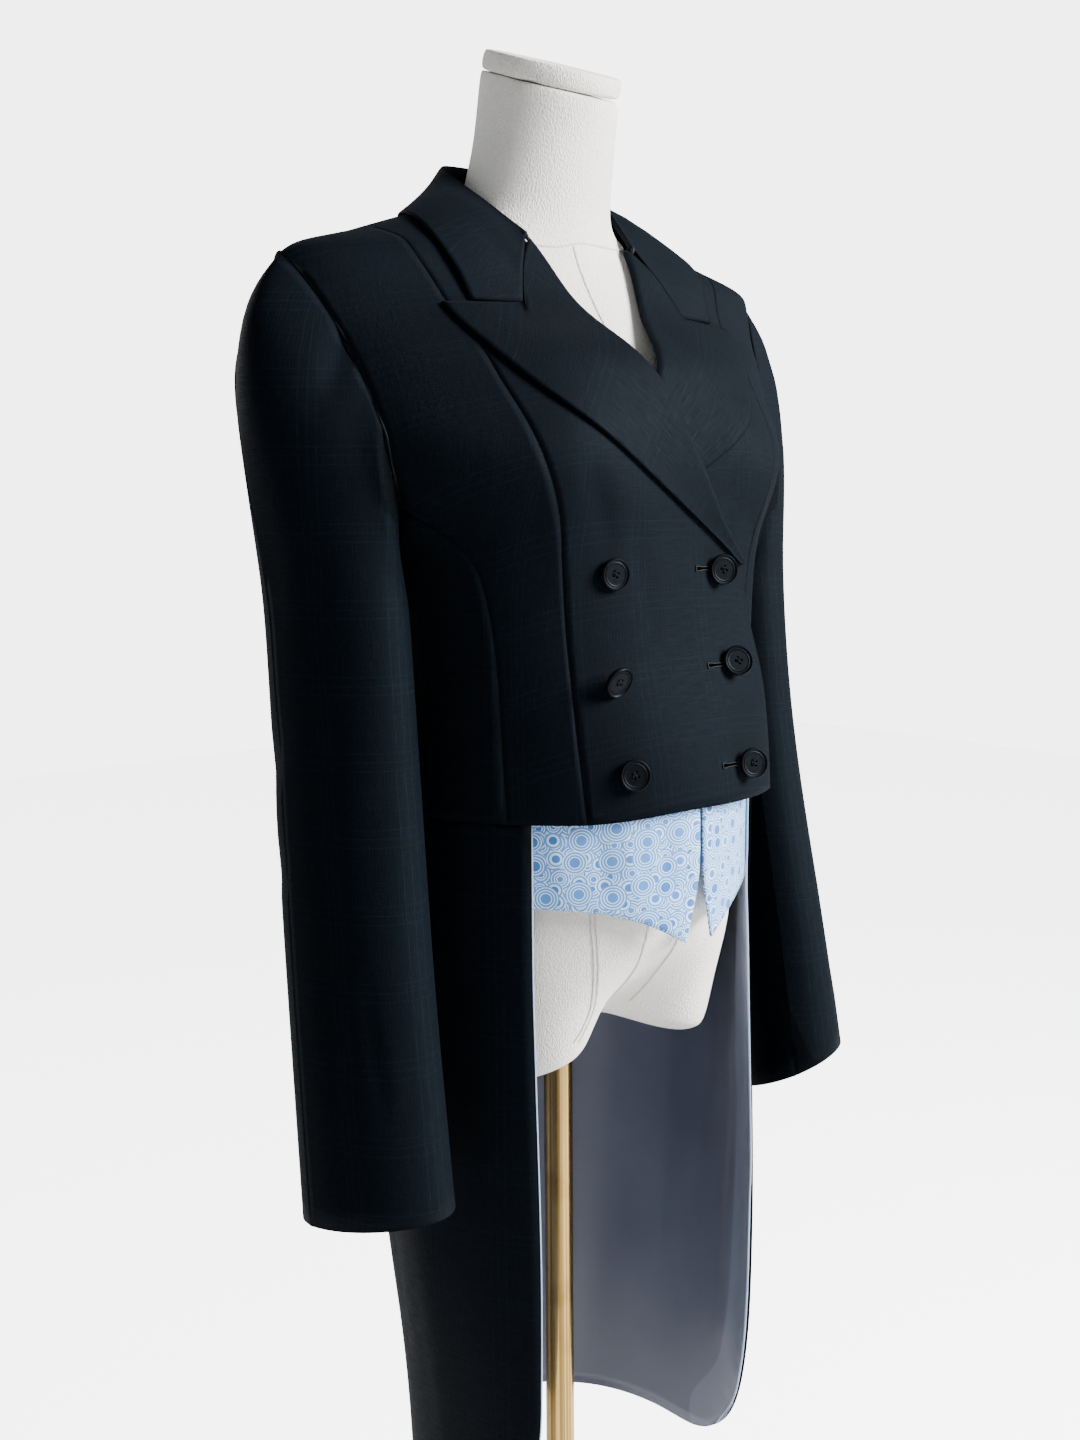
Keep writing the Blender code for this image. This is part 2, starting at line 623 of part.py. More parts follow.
def build_tail_lining(side, material):
    """Make the satin lining of one tail, from its front edge to the centre back."""
    rows = [np.concatenate([skirt, back[:TAIL_ROWS, 1:]], axis=1)
            for skirt, back in zip(skirt_grid(), back_grid())]
    name = "tail_lining_" + side_name(side)
    depth = CLOTH + LINING_GAP
    return coat_panel(name, rows[0], rows[1], side, material, depth=depth, thick=SATIN)


def build_vest_point(side, material):
    """Make one satin vest point, which hangs from under the front's hem."""
    rows, columns = 6, 9
    table = np.array(VEST_LOWER)[::-1]
    share = np.linspace(0.0, 1.0, columns)
    places = np.linspace(0.0, 1.0, len(table))
    lower_level = np.interp(share, places, table[:, 0])
    lower_x = np.interp(share, places, table[:, 1])
    bottom = (angle_at(lower_level, lower_x), lower_level)
    tip = (bottom[0][0], bottom[1][0])
    notch = (float(angle_at(*VEST_NOTCH)), VEST_NOTCH[0])
    crown = (float(angle_at(VEST_TOP, VEST_NOTCH[1])), VEST_TOP)
    left = join_rows(line(tip, notch, rows - 2), line(notch, crown, 3))
    outside = (float(angle_at(VEST_TOP, table[-1][1])), VEST_TOP)
    right = line((bottom[0][-1], bottom[1][-1]), outside, rows)
    top = line(crown, outside, columns)
    angle, level = patch(left, right, bottom, top)
    name = "vest_point_" + side_name(side)
    return coat_panel(name, angle, level, side, material, depth=VEST_DEPTH, thick=VEST_THICK)


def lapel_centre(share_down, share_across, side):
    """Return the lapel's middle surface and which way is out, by shares down and across."""
    down, across = np.meshgrid(share_down, share_across, indexing="ij")
    level_roll = ROLL_LINE[-1][0] + (BREAK_LEVEL - ROLL_LINE[-1][0]) * down
    x_roll = smooth_rows(ROLL_LINE)(level_roll)[..., 0]
    edge_level = LAPEL_EDGE[-1][0] + (BREAK_LEVEL - LAPEL_EDGE[-1][0]) * down
    edge_x = smooth_rows(LAPEL_EDGE)(edge_level)[..., 0]
    edge_x = np.maximum(edge_x, x_roll + 0.004)
    level = level_roll + (edge_level - level_roll) * across
    x = x_roll + (edge_x - x_roll) * across
    corner = GORGE_SHARE
    bend = np.where(across < corner, across / corner, (1.0 - across) / (1.0 - corner))
    fade = np.clip(1.0 - down / 0.45, 0.0, 1.0) ** 2
    top = np.array(ROLL_LINE[-1])
    straight = top + (np.array(LAPEL_EDGE[-1]) - top) * corner
    level = level + (GORGE_END[0] - straight[0]) * bend * fade
    x = x + (GORGE_END[1] - straight[1]) * bend * fade
    angle = angle_at(level, x)
    return coat_shell(angle, level, lapel_rise(across) + front_lift(angle, level, side))


def lapel_rise(across):
    """Return how high the lapel's middle stands over the front, from roll line to edge."""
    return LAPEL_ROLL + (LAPEL_LIE - LAPEL_ROLL) * ramp(across, 0.0, 0.8) + CLOTH / 2.0


def build_lapel(side, material):
    """Make the lapel, turned back over the front at the roll line."""
    last = 0.66 if side > 0 else 0.985
    down = np.linspace(0.0, last, 12 if side > 0 else 16)
    across = np.array([0.035, 0.10, 0.22, 0.33, 0.44, GORGE_SHARE, 0.70, 0.85, 1.0])
    face = lapel_centre(down, across, side)
    roll = lapel_centre(down, np.array([0.0, 0.02]), side)
    outward = unit(roll[:, 0] - roll[:, 1])
    angle, level = roll_line(down)
    skin = coat_shell(angle, level, front_lift(angle, level, side))
    up = unit(coat_shell(angle, level, 0.001 + 0.0 * angle) - coat_point(angle, level))
    turn_radius = (LAPEL_ROLL + CLOTH) / 2.0
    start = skin - up * CLOTH / 2.0 + outward * 0.0016
    apex = skin + up * (turn_radius - CLOTH / 2.0) + outward * 0.0028
    over = skin + up * (2.0 * turn_radius - CLOTH / 2.0) + outward * 0.0008
    grid = np.concatenate([start[:, None], apex[:, None], over[:, None], face], axis=1)
    return wall_about("lapel_" + side_name(side), grid, CLOTH, side, material)


def roll_line(down):
    """Return angle and level of the roll line at shares of the way down to the break."""
    level = ROLL_LINE[-1][0] + (BREAK_LEVEL - ROLL_LINE[-1][0]) * down
    return front_wire(ROLL_LINE, level), level


def wall_about(name, grid, thick, side, material):
    """Make a wall of even thickness about a middle surface."""
    grid = pull_in(grid)
    normal = surface_normals(grid)
    outer = mirror_of(grid + normal * thick / 2.0, side)
    inner = mirror_of(grid - normal * thick / 2.0, side)
    return make_wall(name, outer, inner, material)


def gorge_row(parts):
    """Return the collar's end: along the gorge seam to the lapel's corner, then along the notch."""
    reach = np.minimum(parts / 0.5, 1.0)
    beyond = np.clip(parts / 0.5 - 1.0, 0.0, 1.0)
    turn = reach ** 4
    top_level, top_x = ROLL_LINE[-1]
    level = top_level + (GORGE_END[0] - top_level) * reach + GORGE_GAP * (0.4 + 0.6 * turn)
    level = level + (COLLAR_CORNER[0] - GORGE_END[0]) * beyond
    x = top_x + (GORGE_END[1] - top_x) * reach + (COLLAR_CORNER[1] - GORGE_END[1]) * beyond
    x = x + GORGE_GAP * (0.92 - 0.32 * turn) * (1.0 - beyond)
    return coat_shell(angle_at(level, x), level, lapel_rise(GORGE_SHARE * reach + 0.25 * beyond))


def collar_half(shares, falls):
    """Return the middle surface of half the collar, from neckline up, over the fold and down."""
    fold = smooth_rows(COLLAR_FOLD)(shares)
    edge_angle, edge_level = np.moveaxis(smooth_rows(COLLAR_EDGE)(shares), -1, 0)
    edge_angle = np.radians(edge_angle)
    seam_angle, seam_level = neckline(shares)
    lie = np.full_like(shares, COLLAR_LIE + CLOTH / 2.0)
    edge = coat_shell(edge_angle, edge_level, lie)
    seam = coat_shell(seam_angle, seam_level, np.full_like(shares, -CLOTH / 2.0))
    outward = edge - seam
    outward[:, 2] = 0.0
    outward = unit(outward)
    seam = seam + unit(fold - seam) * 0.0030
    turn_radius = 0.0017
    rise = np.array([0.0, 0.0, 0.0012])
    inside = fold - outward * turn_radius
    outside = fold + outward * turn_radius - rise * 0.5
    stand = [seam + (inside - seam) * part for part in (0.0, 0.5)]
    top = [inside - rise * 0.5, fold + rise, outside]
    close = coat_shell(seam_angle, seam_level, lie)
    fall = []
    for part in falls:
        arch = COLLAR_ARCH * (1.0 - part ** 4) * np.sin(np.pi * np.clip(shares / 0.56, 0.0, 1.0))
        point = coat_shell(seam_angle + (edge_angle - seam_angle) * part,
                           seam_level + (edge_level - seam_level) * part, lie + arch)
        fall.append(point + (outside - close) * (1.0 - part) ** 1.3)
    fall = np.stack(fall, axis=1)
    fade = np.clip(1.0 - shares / 0.16, 0.0, 1.0)[:, None, None] ** 2
    fall = fall + (gorge_row(falls) - fall[0])[None] * fade
    return np.concatenate([np.stack(stand + top, axis=1), fall], axis=1)


def build_collar(material):
    """Make the collar in one piece round the neck, folded over its stand."""
    shares = np.array([0.0, 0.05, 0.10, 0.16, 0.24, 0.33, 0.42, 0.52, 0.62, 0.72, 0.82, 0.91, 1.0])
    half = collar_half(shares, np.array([0.2, 0.3, 0.4, 0.5, 0.6, 0.8, 1.0]))
    other = mirror_of(half, -1)[-2::-1]
    grid = np.concatenate([half, other], axis=0)
    return wall_about("collar", grid, CLOTH, 1, material)


def sleeve_section(turn, height, side):
    """Return one sleeve's outer surface at a turn and a height, as if for the left arm."""
    x, y, long_axis, short_axis, twist = np.moveaxis(sleeve_row(height), -1, 0)
    twist = np.radians(twist)
    ahead = long_axis * np.cos(turn)
    aside = short_axis * np.sin(turn)
    px = x - ahead * np.sin(twist) + aside * np.cos(twist)
    py = y - ahead * np.cos(twist) - aside * np.sin(twist)
    forwards, outwards, raised = CUFF_SLOPES[side]
    rise = forwards * (y - py) + outwards * (px - x) + raised
    return np.stack([px, py, height + rise * (1.0 - ramp(height, CUFF_HEIGHT, 1.02))], -1)


def sleeve_point(turn, share, side):
    """Return one sleeve's outer surface, share 0 at the armhole and 1 at the cuff."""
    cap_share = 0.36
    hole_angle, hole_level = armhole(turn)
    start = coat_shell(hole_angle, hole_level, 0.0 * turn)
    top = sleeve_section(turn, np.full_like(turn, SLEEVE_TOP), side)
    reach = np.linalg.norm(top - start, axis=-1, keepdims=True)
    high = (1.0 + np.sin(turn)) / 2.0
    leave = unit(np.stack([
        0.10 + 0.62 * high, -0.22 * np.cos(turn), -(0.45 + 0.70 * (1.0 - high)),
    ], -1)) * reach * 0.95
    down = sleeve_section(turn, np.full_like(turn, SLEEVE_TOP - 0.01), side) - top
    arrive = unit(down) * reach * 0.9
    part = np.clip(share / cap_share, 0.0, 1.0)[..., None]
    begin = (1.0 + 2.0 * part) * (1.0 - part) ** 2
    end = part ** 2 * (3.0 - 2.0 * part)
    cap = (begin * start + end * top + part * (1.0 - part) ** 2 * leave
           + part ** 2 * (part - 1.0) * arrive)
    run = np.clip((share - cap_share) / (1.0 - cap_share), 0.0, 1.0)
    tube = sleeve_section(turn, SLEEVE_TOP + (CUFF_HEIGHT - SLEEVE_TOP) * run, side)
    return np.where(share[..., None] < cap_share, cap, tube)


def build_sleeve(name, first, last, columns, side, material):
    """Make one piece of the two-piece sleeve, between two turns round the arm."""
    turns, shares = np.meshgrid(
        np.linspace(first, last, columns),
        np.concatenate([np.linspace(0.0, 0.36, 8), np.linspace(0.36, 1.0, 8)[1:]]),
        indexing="ij")
    turns = turns.T
    shares = shares.T
    step = 1e-3
    outer = sleeve_point(turns, shares, side)
    around = sleeve_point(turns + step, shares, side) - sleeve_point(turns - step, shares, side)
    later = np.minimum(shares + step, 1.0)
    sooner = np.maximum(shares - step, 0.0)
    along = sleeve_point(turns, later, side) - sleeve_point(turns, sooner, side)
    normal = unit(np.cross(along, around))
    inner = outer - normal * CLOTH
    start = unit(outer[1] - outer[0]) * 0.0012
    outer[0] = outer[0] + start
    inner[0] = inner[0] + start
    outer = pull_in(outer)
    inner = pull_in(inner)
    return make_wall(name, mirror_of(outer, side), mirror_of(inner, side), material)


def right_front(x, level):
    """Return the right front's outer surface at places across it and levels."""
    angle = angle_at(level, x)
    return mirror_of(coat_shell(angle, level, front_lift(angle, level, -1)), -1)


def build_button(name, side, row, material):
    """Turn one button with a raised rim, whose back's lowest edge rests on the right front."""
    level, x = BUTTON_ROWS[side][row]
    if (side, row) == (-1, 1):
        level = level - LOOSE_BUTTON_DROP
        x = x + LOOSE_BUTTON_SLIP
    place = -side * x
    reach = BUTTON_RADIUS * 0.8
    base = right_front(place, level)
    wide = right_front(place - reach, level) - right_front(place + reach, level)
    tall = right_front(place, level + reach) - right_front(place, level - reach)
    out = unit(np.cross(wide, tall))
    right = unit(np.cross(np.array([0.0, 0.0, 1.0]), out))
    up = np.cross(out, right)
    tilt, turn = np.radians(BUTTON_LEANS.get((side, row), (0.0, 0.0)))
    aside = right * math.cos(turn) + up * math.sin(turn)
    lean = unit(out * math.cos(tilt) - aside * math.sin(tilt))
    up = unit(np.cross(lean, aside))
    right = np.cross(up, lean)
    around = np.linspace(0.0, 2.0 * math.pi, 24, endpoint=False)
    below = right_front(place - reach * np.cos(around + turn), level + reach * np.sin(around + turn))
    rim = reach * (np.cos(around)[:, None] * right + np.sin(around)[:, None] * up)
    base = base + out * (max(0.0, float(np.max((below - base - rim) @ out))) + BUTTON_SEAT)
    profile = np.array([
        (0.0, 0.0), (BUTTON_RADIUS * 0.80, 0.0), (BUTTON_RADIUS, BUTTON_THICK * 0.45),
        (BUTTON_RADIUS * 0.96, BUTTON_THICK * 0.86), (BUTTON_RADIUS - BUTTON_RIM * 0.5, BUTTON_THICK),
        (BUTTON_RADIUS - BUTTON_RIM, BUTTON_THICK - BUTTON_WELL), (0.0, BUTTON_THICK - BUTTON_WELL),
    ])
    frame = np.stack([right, up, lean])
    return turned(name, profile, base, frame, 18, material)


def turned(name, profile, origin, frame, sides, material):
    """Turn a profile of (radius, height) rows about an axis into one closed solid."""
    turns = np.linspace(0.0, 2.0 * math.pi, sides, endpoint=False)
    rings = profile[1:-1]
    local = np.stack([
        rings[:, None, 0] * np.cos(turns), rings[:, None, 0] * np.sin(turns),
        rings[:, None, 1] + 0.0 * turns,
    ], -1)
    ends = np.array([[0.0, 0.0, profile[0, 1]], [0.0, 0.0, profile[-1, 1]]])
    points = np.concatenate([local.reshape(-1, 3), ends]) @ frame + origin
    return new_object(name, points, ring_faces(len(rings), sides), material)


def ring_faces(count, sides):
    """Return faces that join rings, with a fan at each end, rings given upwards."""
    index = np.arange(count * sides).reshape(count, sides)
    after = np.roll(index, -1, axis=1)
    faces = np.stack([index[:-1], after[:-1], after[1:], index[1:]], -1).reshape(-1, 4).tolist()
    bottom = count * sides
    faces += np.stack([after[0], index[0], np.full(sides, bottom)], -1).tolist()
    faces += np.stack([index[-1], after[-1], np.full(sides, bottom + 1)], -1).tolist()
    return faces


def crotch(x):
    """Return the height of the form's underside, which arches between its thigh stubs."""
    return CROTCH_HEIGHT - CROTCH_SLOPE * (np.hypot(x, CROTCH_ROUND) - CROTCH_ROUND)


def form_point(angle, height):
    """Return the dress form's surface at an angle and a height."""
    half, front, middle, back, square = np.moveaxis(form_row(height), -1, 0)
    x, y = ring_point(angle, half, front, middle, back, square, square)
    y = y - bust(x, height, angle, FORM_BUST_RISE)
    groove = LEG_GROOVE * np.exp(-(x / LEG_GROOVE_WIDTH) ** 2) * ramp(-height, -0.925, -0.835)
    y = y + groove * np.clip(np.cos(angle) * 2.0, 0.0, 1.0)
    return np.stack([x, y, height], -1)


def build_torso(material):
    """Make the padded torso with its neck, whole and smooth, closed above and below."""
    sides = 32
    turns = np.linspace(0.0, 2.0 * math.pi, sides, endpoint=False)
    rings = []
    low = 0.862
    for scale in (0.125, 0.35, 0.6, 0.8, 0.93, 0.985):
        wide = form_point(turns, np.full(sides, 0.845))
        x = wide[:, 0] * scale
        depth = 1.0 - (1.0 - scale ** 6) ** 0.5
        floor = crotch(x)
        rings.append(np.stack([x, wide[:, 1] * scale, floor + (low - floor) * depth * 0.5], -1))
    heights = [low, 0.895, 0.93, 0.97, 1.01, 1.05, 1.09, 1.13, 1.17, 1.205, 1.24, 1.27, 1.30,
               1.325, 1.345, 1.36, 1.375, 1.39, 1.405, 1.425, 1.45]
    for height in heights:
        rings.append(form_point(turns, np.full(sides, height)))
    top = form_point(turns, np.full(sides, 1.478))
    seat = CAP_HEIGHT - (CAP_THICK / 2.0 - CAP_STEP + FORM_GAP) * math.hypot(1.0, CAP_TILT)
    for shrink, drop in ((1.0, 0.002), (0.96, 0.0)):
        ring = top.copy()
        ring[:, :2] = ring[:, :2] * shrink
        ring[:, 2] = seat - drop + CAP_TILT * ring[:, 1]
        rings.append(ring)
    rings[0][:, 2] = CROTCH_HEIGHT
    ends = [[0.0, 0.0, CROTCH_HEIGHT], [0.0, 0.0, seat]]
    points = np.concatenate([np.concatenate(rings), ends])
    return new_object("form_torso", points, ring_faces(len(rings), sides), material)


def build_neck_cap(material):
    """Make the slanted disc that closes the form's neck."""
    up = unit(np.array([0.0, -CAP_TILT, 1.0]))
    right = np.array([1.0, 0.0, 0.0])
    frame = np.stack([right, np.cross(up, right), up])
    radius = 0.0490
    half = CAP_THICK / 2.0
    profile = np.array([
        (0.0, CAP_STEP - half), (radius * 0.95, CAP_STEP - half), (radius, 0.003 - half),
        (radius, half - 0.004), (radius * 0.975, half - 0.0012), (radius * 0.90, half),
        (0.0, half + 0.001),
    ])
    origin = np.array([0.0, 0.0, CAP_HEIGHT])
    return turned("form_neck_cap", profile, origin, frame, 32, material)


def build_stand(brass):
    """Make the brass pole and the round weighted base that it stands on."""
    upright = np.eye(3)
    collar_height = 0.030
    base_profile = np.array([
        (0.0, 0.0), (BASE_RADIUS, 0.0), (BASE_RADIUS, BASE_THICK * 0.5),
        (BASE_RADIUS * 0.985, BASE_THICK * 0.85), (BASE_RADIUS * 0.95, BASE_THICK),
        (POLE_RADIUS * 2.2, BASE_THICK + 0.006), (POLE_RADIUS * 1.7, collar_height),
        (0.0, collar_height),
    ])
    turned("stand_base", base_profile, np.zeros(3), upright, 40, brass)
    low = collar_height + FORM_GAP
    high = CROTCH_HEIGHT - FORM_GAP
    pole_profile = np.array([(0.0, low), (POLE_RADIUS, low), (POLE_RADIUS, high), (0.0, high)])
    turned("stand_pole", pole_profile, np.zeros(3), upright, 24, brass)


def new_material(name, colour, roughness, metallic=0.0):
    """Make a plain material."""
    material = bpy.data.materials.new(name)
    material.use_nodes = True
    shader = material.node_tree.nodes["Principled BSDF"]
    shader.inputs["Base Color"].default_value = (*colour, 1.0)
    shader.inputs["Roughness"].default_value = roughness
    shader.inputs["Metallic"].default_value = metallic
    return material


def build_all():
    """Build every piece of the coat, its buttons, the form and the stand."""
    clear_scene()
    wool = new_material("wool", (0.012, 0.016, 0.022), 0.85)
    satin = new_material("vest_satin", (0.42, 0.58, 0.78), 0.40)
    lining = new_material("lining_satin", (0.16, 0.20, 0.31), 0.42)
    button = new_material("button", (0.006, 0.006, 0.008), 0.30)
    jersey = new_material("jersey", (0.74, 0.71, 0.66), 0.80)
    brass = new_material("brass", (0.62, 0.44, 0.18), 0.22, 1.0)
    for side in (1, -1):
        build_front(side, wool)
        build_side_front(side, wool)
        build_side_body(side, wool)
        build_back(side, wool)
        build_skirt(side, wool)
        build_lapel(side, wool)
        upper = "sleeve_top_" + side_name(side)
        under = "sleeve_under_" + side_name(side)
        build_sleeve(upper, FOREARM_SEAM, HINDARM_SEAM, 9, side, wool)
        build_sleeve(under, HINDARM_SEAM, FOREARM_SEAM + 2.0 * math.pi, 11, side, wool)
        build_tail_lining(side, lining)
        build_vest_point(side, satin)
        for row in range(len(BUTTON_ROWS[side])):
            build_button(f"button_{side_name(side)}_{row + 1}", side, row, button)
    build_collar(wool)
    build_torso(jersey)
    build_neck_cap(jersey)
    build_stand(brass)


build_all()
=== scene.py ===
"""Looks of a dressage tailcoat on its limbless dress form and stand.

Every cut piece of cloth is a fine copy of its solid, smoothed, with its seam edges let out a
little and its folds laid in. Buttons, threads, buttonholes, piping and form seams are
surfaces worked out on grids. Units are metres, +Z is up, the coat faces -Y and the wearer's left
is +X.
"""

import logging
import math
from dataclasses import dataclass, field
from enum import Enum
from typing import Callable, Sequence

import bmesh
import bpy
import numpy as np
from mathutils import Matrix, Vector
from mathutils.bvhtree import BVHTree


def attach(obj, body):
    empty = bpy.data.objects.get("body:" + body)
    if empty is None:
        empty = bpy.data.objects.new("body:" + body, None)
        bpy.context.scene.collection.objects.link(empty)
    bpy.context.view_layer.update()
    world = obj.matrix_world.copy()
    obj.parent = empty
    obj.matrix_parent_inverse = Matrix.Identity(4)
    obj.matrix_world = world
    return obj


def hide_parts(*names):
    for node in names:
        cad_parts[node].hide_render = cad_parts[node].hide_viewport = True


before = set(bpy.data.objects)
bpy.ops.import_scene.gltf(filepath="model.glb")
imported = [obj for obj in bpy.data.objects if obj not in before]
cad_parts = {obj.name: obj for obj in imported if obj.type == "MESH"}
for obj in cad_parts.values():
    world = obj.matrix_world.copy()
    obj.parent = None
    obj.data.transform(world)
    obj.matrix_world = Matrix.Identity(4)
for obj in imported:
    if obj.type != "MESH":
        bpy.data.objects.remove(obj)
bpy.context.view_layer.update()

LOG = logging.getLogger("tailcoat")

Colour = tuple[float, float, float]
Points = np.ndarray

BODY_CENTRE = (0.0, 0.004)
BODY_RADIUS = 0.150
CHECK_ACROSS = 0.053
CHECK_UP = 0.047
CHECK_GAP = 0.0055

MERGE_DISTANCE = 2e-5
THIN_EDGE = 0.0021
SMOOTH_LEVELS = 2
RIM_ANGLE = math.radians(48)
CLOTH_SHARP = math.radians(50)
PIECE_SHARP = math.radians(55)
JERSEY_SHARP = math.radians(60)
TUBE_TIP = 0.05
SPLINE_STEPS = 24
BEYOND = 9.0
RAY_START = 0.4


class Side(Enum):
    """The wearer's side of a piece, with the sign of its X."""

    LEFT = 1
    RIGHT = -1

    @property
    def word(self) -> str:
        """The side as it stands in node names."""
        return self.name.lower()


class Slot(Enum):
    """The record's material slots."""

    WOOL = "wool"
    VEST = "vest_satin"
    LINING = "lining_satin"
    BUTTON = "button"
    JERSEY = "jersey"
    BRASS = "brass"


# Shader expressions


class Value:
    """A shader socket that can be used in Python arithmetic."""

    def __init__(self, graph: "Graph", socket: bpy.types.NodeSocket) -> None:
        """Keep the socket and the graph that it is in."""
        self.graph = graph
        self.socket = socket

    def _math(self, operation: str, first: "Value | float", second: "Value | float" = 0.0,
              third: float = 0.0) -> "Value":
        """Add one Math node."""
        return self.graph.node("ShaderNodeMath", {"operation": operation},
                               {0: first, 1: second, 2: third})

    def __add__(self, other: "Value | float") -> "Value":
        """Sum."""
        return self._math("ADD", self, other)

    def __radd__(self, other: float) -> "Value":
        """Sum with a number on the left."""
        return self._math("ADD", other, self)

    def __sub__(self, other: "Value | float") -> "Value":
        """Difference."""
        return self._math("SUBTRACT", self, other)

    def __rsub__(self, other: float) -> "Value":
        """Difference with a number on the left."""
        return self._math("SUBTRACT", other, self)

    def __mul__(self, other: "Value | float") -> "Value":
        """Product."""
        return self._math("MULTIPLY", self, other)

    def __rmul__(self, other: float) -> "Value":
        """Product with a number on the left."""
        return self._math("MULTIPLY", other, self)

    def distance(self) -> "Value":
        """Value without its sign."""
        return self._math("ABSOLUTE", self)

    def repeat(self, width: float) -> "Value":
        """Distance from the nearest multiple of a width, with its sign."""
        return self._math("FLOORED_MODULO", self + width / 2.0, width) - width / 2.0

    def higher(self, other: "Value | float") -> "Value":
        """The greater of two values."""
        return self._math("MAXIMUM", self, other)

    def step(self, low: float, high: float, start: float = 0.0, end: float = 1.0) -> "Value":
        """Smooth step from start to end as the value goes from low to high.

        Args:
            low: Where the step starts.
            high: Where it ends.
            start: The result below it.
            end: The result above it.

        Returns:
            The stepped value.
        """
        return self.graph.node(
            "ShaderNodeMapRange", {"interpolation_type": "SMOOTHSTEP", "clamp": True},
            {0: self, 1: low, 2: high, 3: start, 4: end})


class Graph:
    """One material's nodes, written as expressions."""

    def __init__(self, name: str) -> None:
        """Start a material with its Principled shader.

        Args:
            name: The material's name.
        """
        self.material = bpy.data.materials.new(name)
        self.material.use_nodes = True
        self.tree = self.material.node_tree
        self.shader = self.tree.nodes["Principled BSDF"]

    def node(self, kind: str, settings: dict[str, object], inputs: dict[object, object],
             output: int | str = 0) -> Value:
        """Add any node.

        Args:
            kind: The node's type name.
            settings: Its properties, set first.
            inputs: Socket names or numbers, with numbers, tuples or values.
            output: The output that the value stands for.

        Returns:
            The chosen output.
        """
        made = self.tree.nodes.new(kind)
        for key, value in settings.items():
            setattr(made, key, value)
        for key, value in inputs.items():
            self.feed(made.inputs[key], value)
        return Value(self, made.outputs[output])

    def feed(self, socket: bpy.types.NodeSocket, value: object) -> None:
        """Link a value to a socket, or set the socket's own number.

        Args:
            socket: The socket to feed.
            value: A value, number or tuple.
        """
        if isinstance(value, Value):
            self.tree.links.new(value.socket, socket)
        elif isinstance(value, tuple) and len(value) == 3 and socket.type == "RGBA":
            socket.default_value = (*value, 1.0)
        else:
            socket.default_value = value

    def set(self, **inputs: object) -> None:
        """Feed the shader's sockets, whose names have underscores for spaces."""
        for key, value in inputs.items():
            self.feed(self.shader.inputs[key.replace("_", " ")], value)

    def cloth_place(self) -> Value:
        """The cloth's own map, in metres across and up."""
        return self.node("ShaderNodeUVMap", {"uv_map": "cloth"}, {})

    def object_place(self) -> Value:
        """The place on the object, in metres."""
        return self.node("ShaderNodeTexCoord", {}, {}, "Object")

    def parts(self, vector: Value) -> tuple[Value, Value, Value]:
        """Split a vector into its three numbers.

        Args:
            vector: The vector.

        Returns:
            Its x, y and z.
        """
        first = self.node("ShaderNodeSeparateXYZ", {}, {0: vector})
        outputs = first.socket.node.outputs
        return Value(self, outputs[0]), Value(self, outputs[1]), Value(self, outputs[2])

    def attribute(self, name: str) -> Value:
        """A number that each point of the mesh carries."""
        return self.node("ShaderNodeAttribute", {"attribute_name": name}, {}, "Fac")

    def noise(self, vector: Value, scale: float, detail: float = 2.0,
              roughness: float = 0.5) -> Value:
        """Smooth noise from 0 to 1 at so many features a metre."""
        return self.node("ShaderNodeTexNoise", {}, {
            "Vector": vector, "Scale": scale, "Detail": detail, "Roughness": roughness})

    def grain(self, vector: Value, scale: tuple[float, float, float], detail: float = 2.0,
              roughness: float = 0.5) -> Value:
        """Noise with its own number of features a metre along each axis.

        Args:
            vector: The place.
            scale: Features a metre along each axis.
            detail: Octaves of finer noise.
            roughness: How strong the finer noise is.

        Returns:
            Noise from 0 to 1.
        """
        stretched = self.node("ShaderNodeMapping", {}, {"Vector": vector, "Scale": scale})
        return self.noise(stretched, 1.0, detail, roughness)

    def mix(self, share: Value | float, first: object, second: object) -> Value:
        """Blend two colours."""
        return self.node("ShaderNodeMix", {"data_type": "RGBA"}, {0: share, 6: first, 7: second}, 2)

    def bump(self, height: Value, distance: float, strength: float = 1.0) -> Value:
        """Turn a height from 0 to 1 into a normal."""
        return self.node("ShaderNodeBump", {}, {
            "Height": height, "Distance": distance, "Strength": strength})


# Finishes


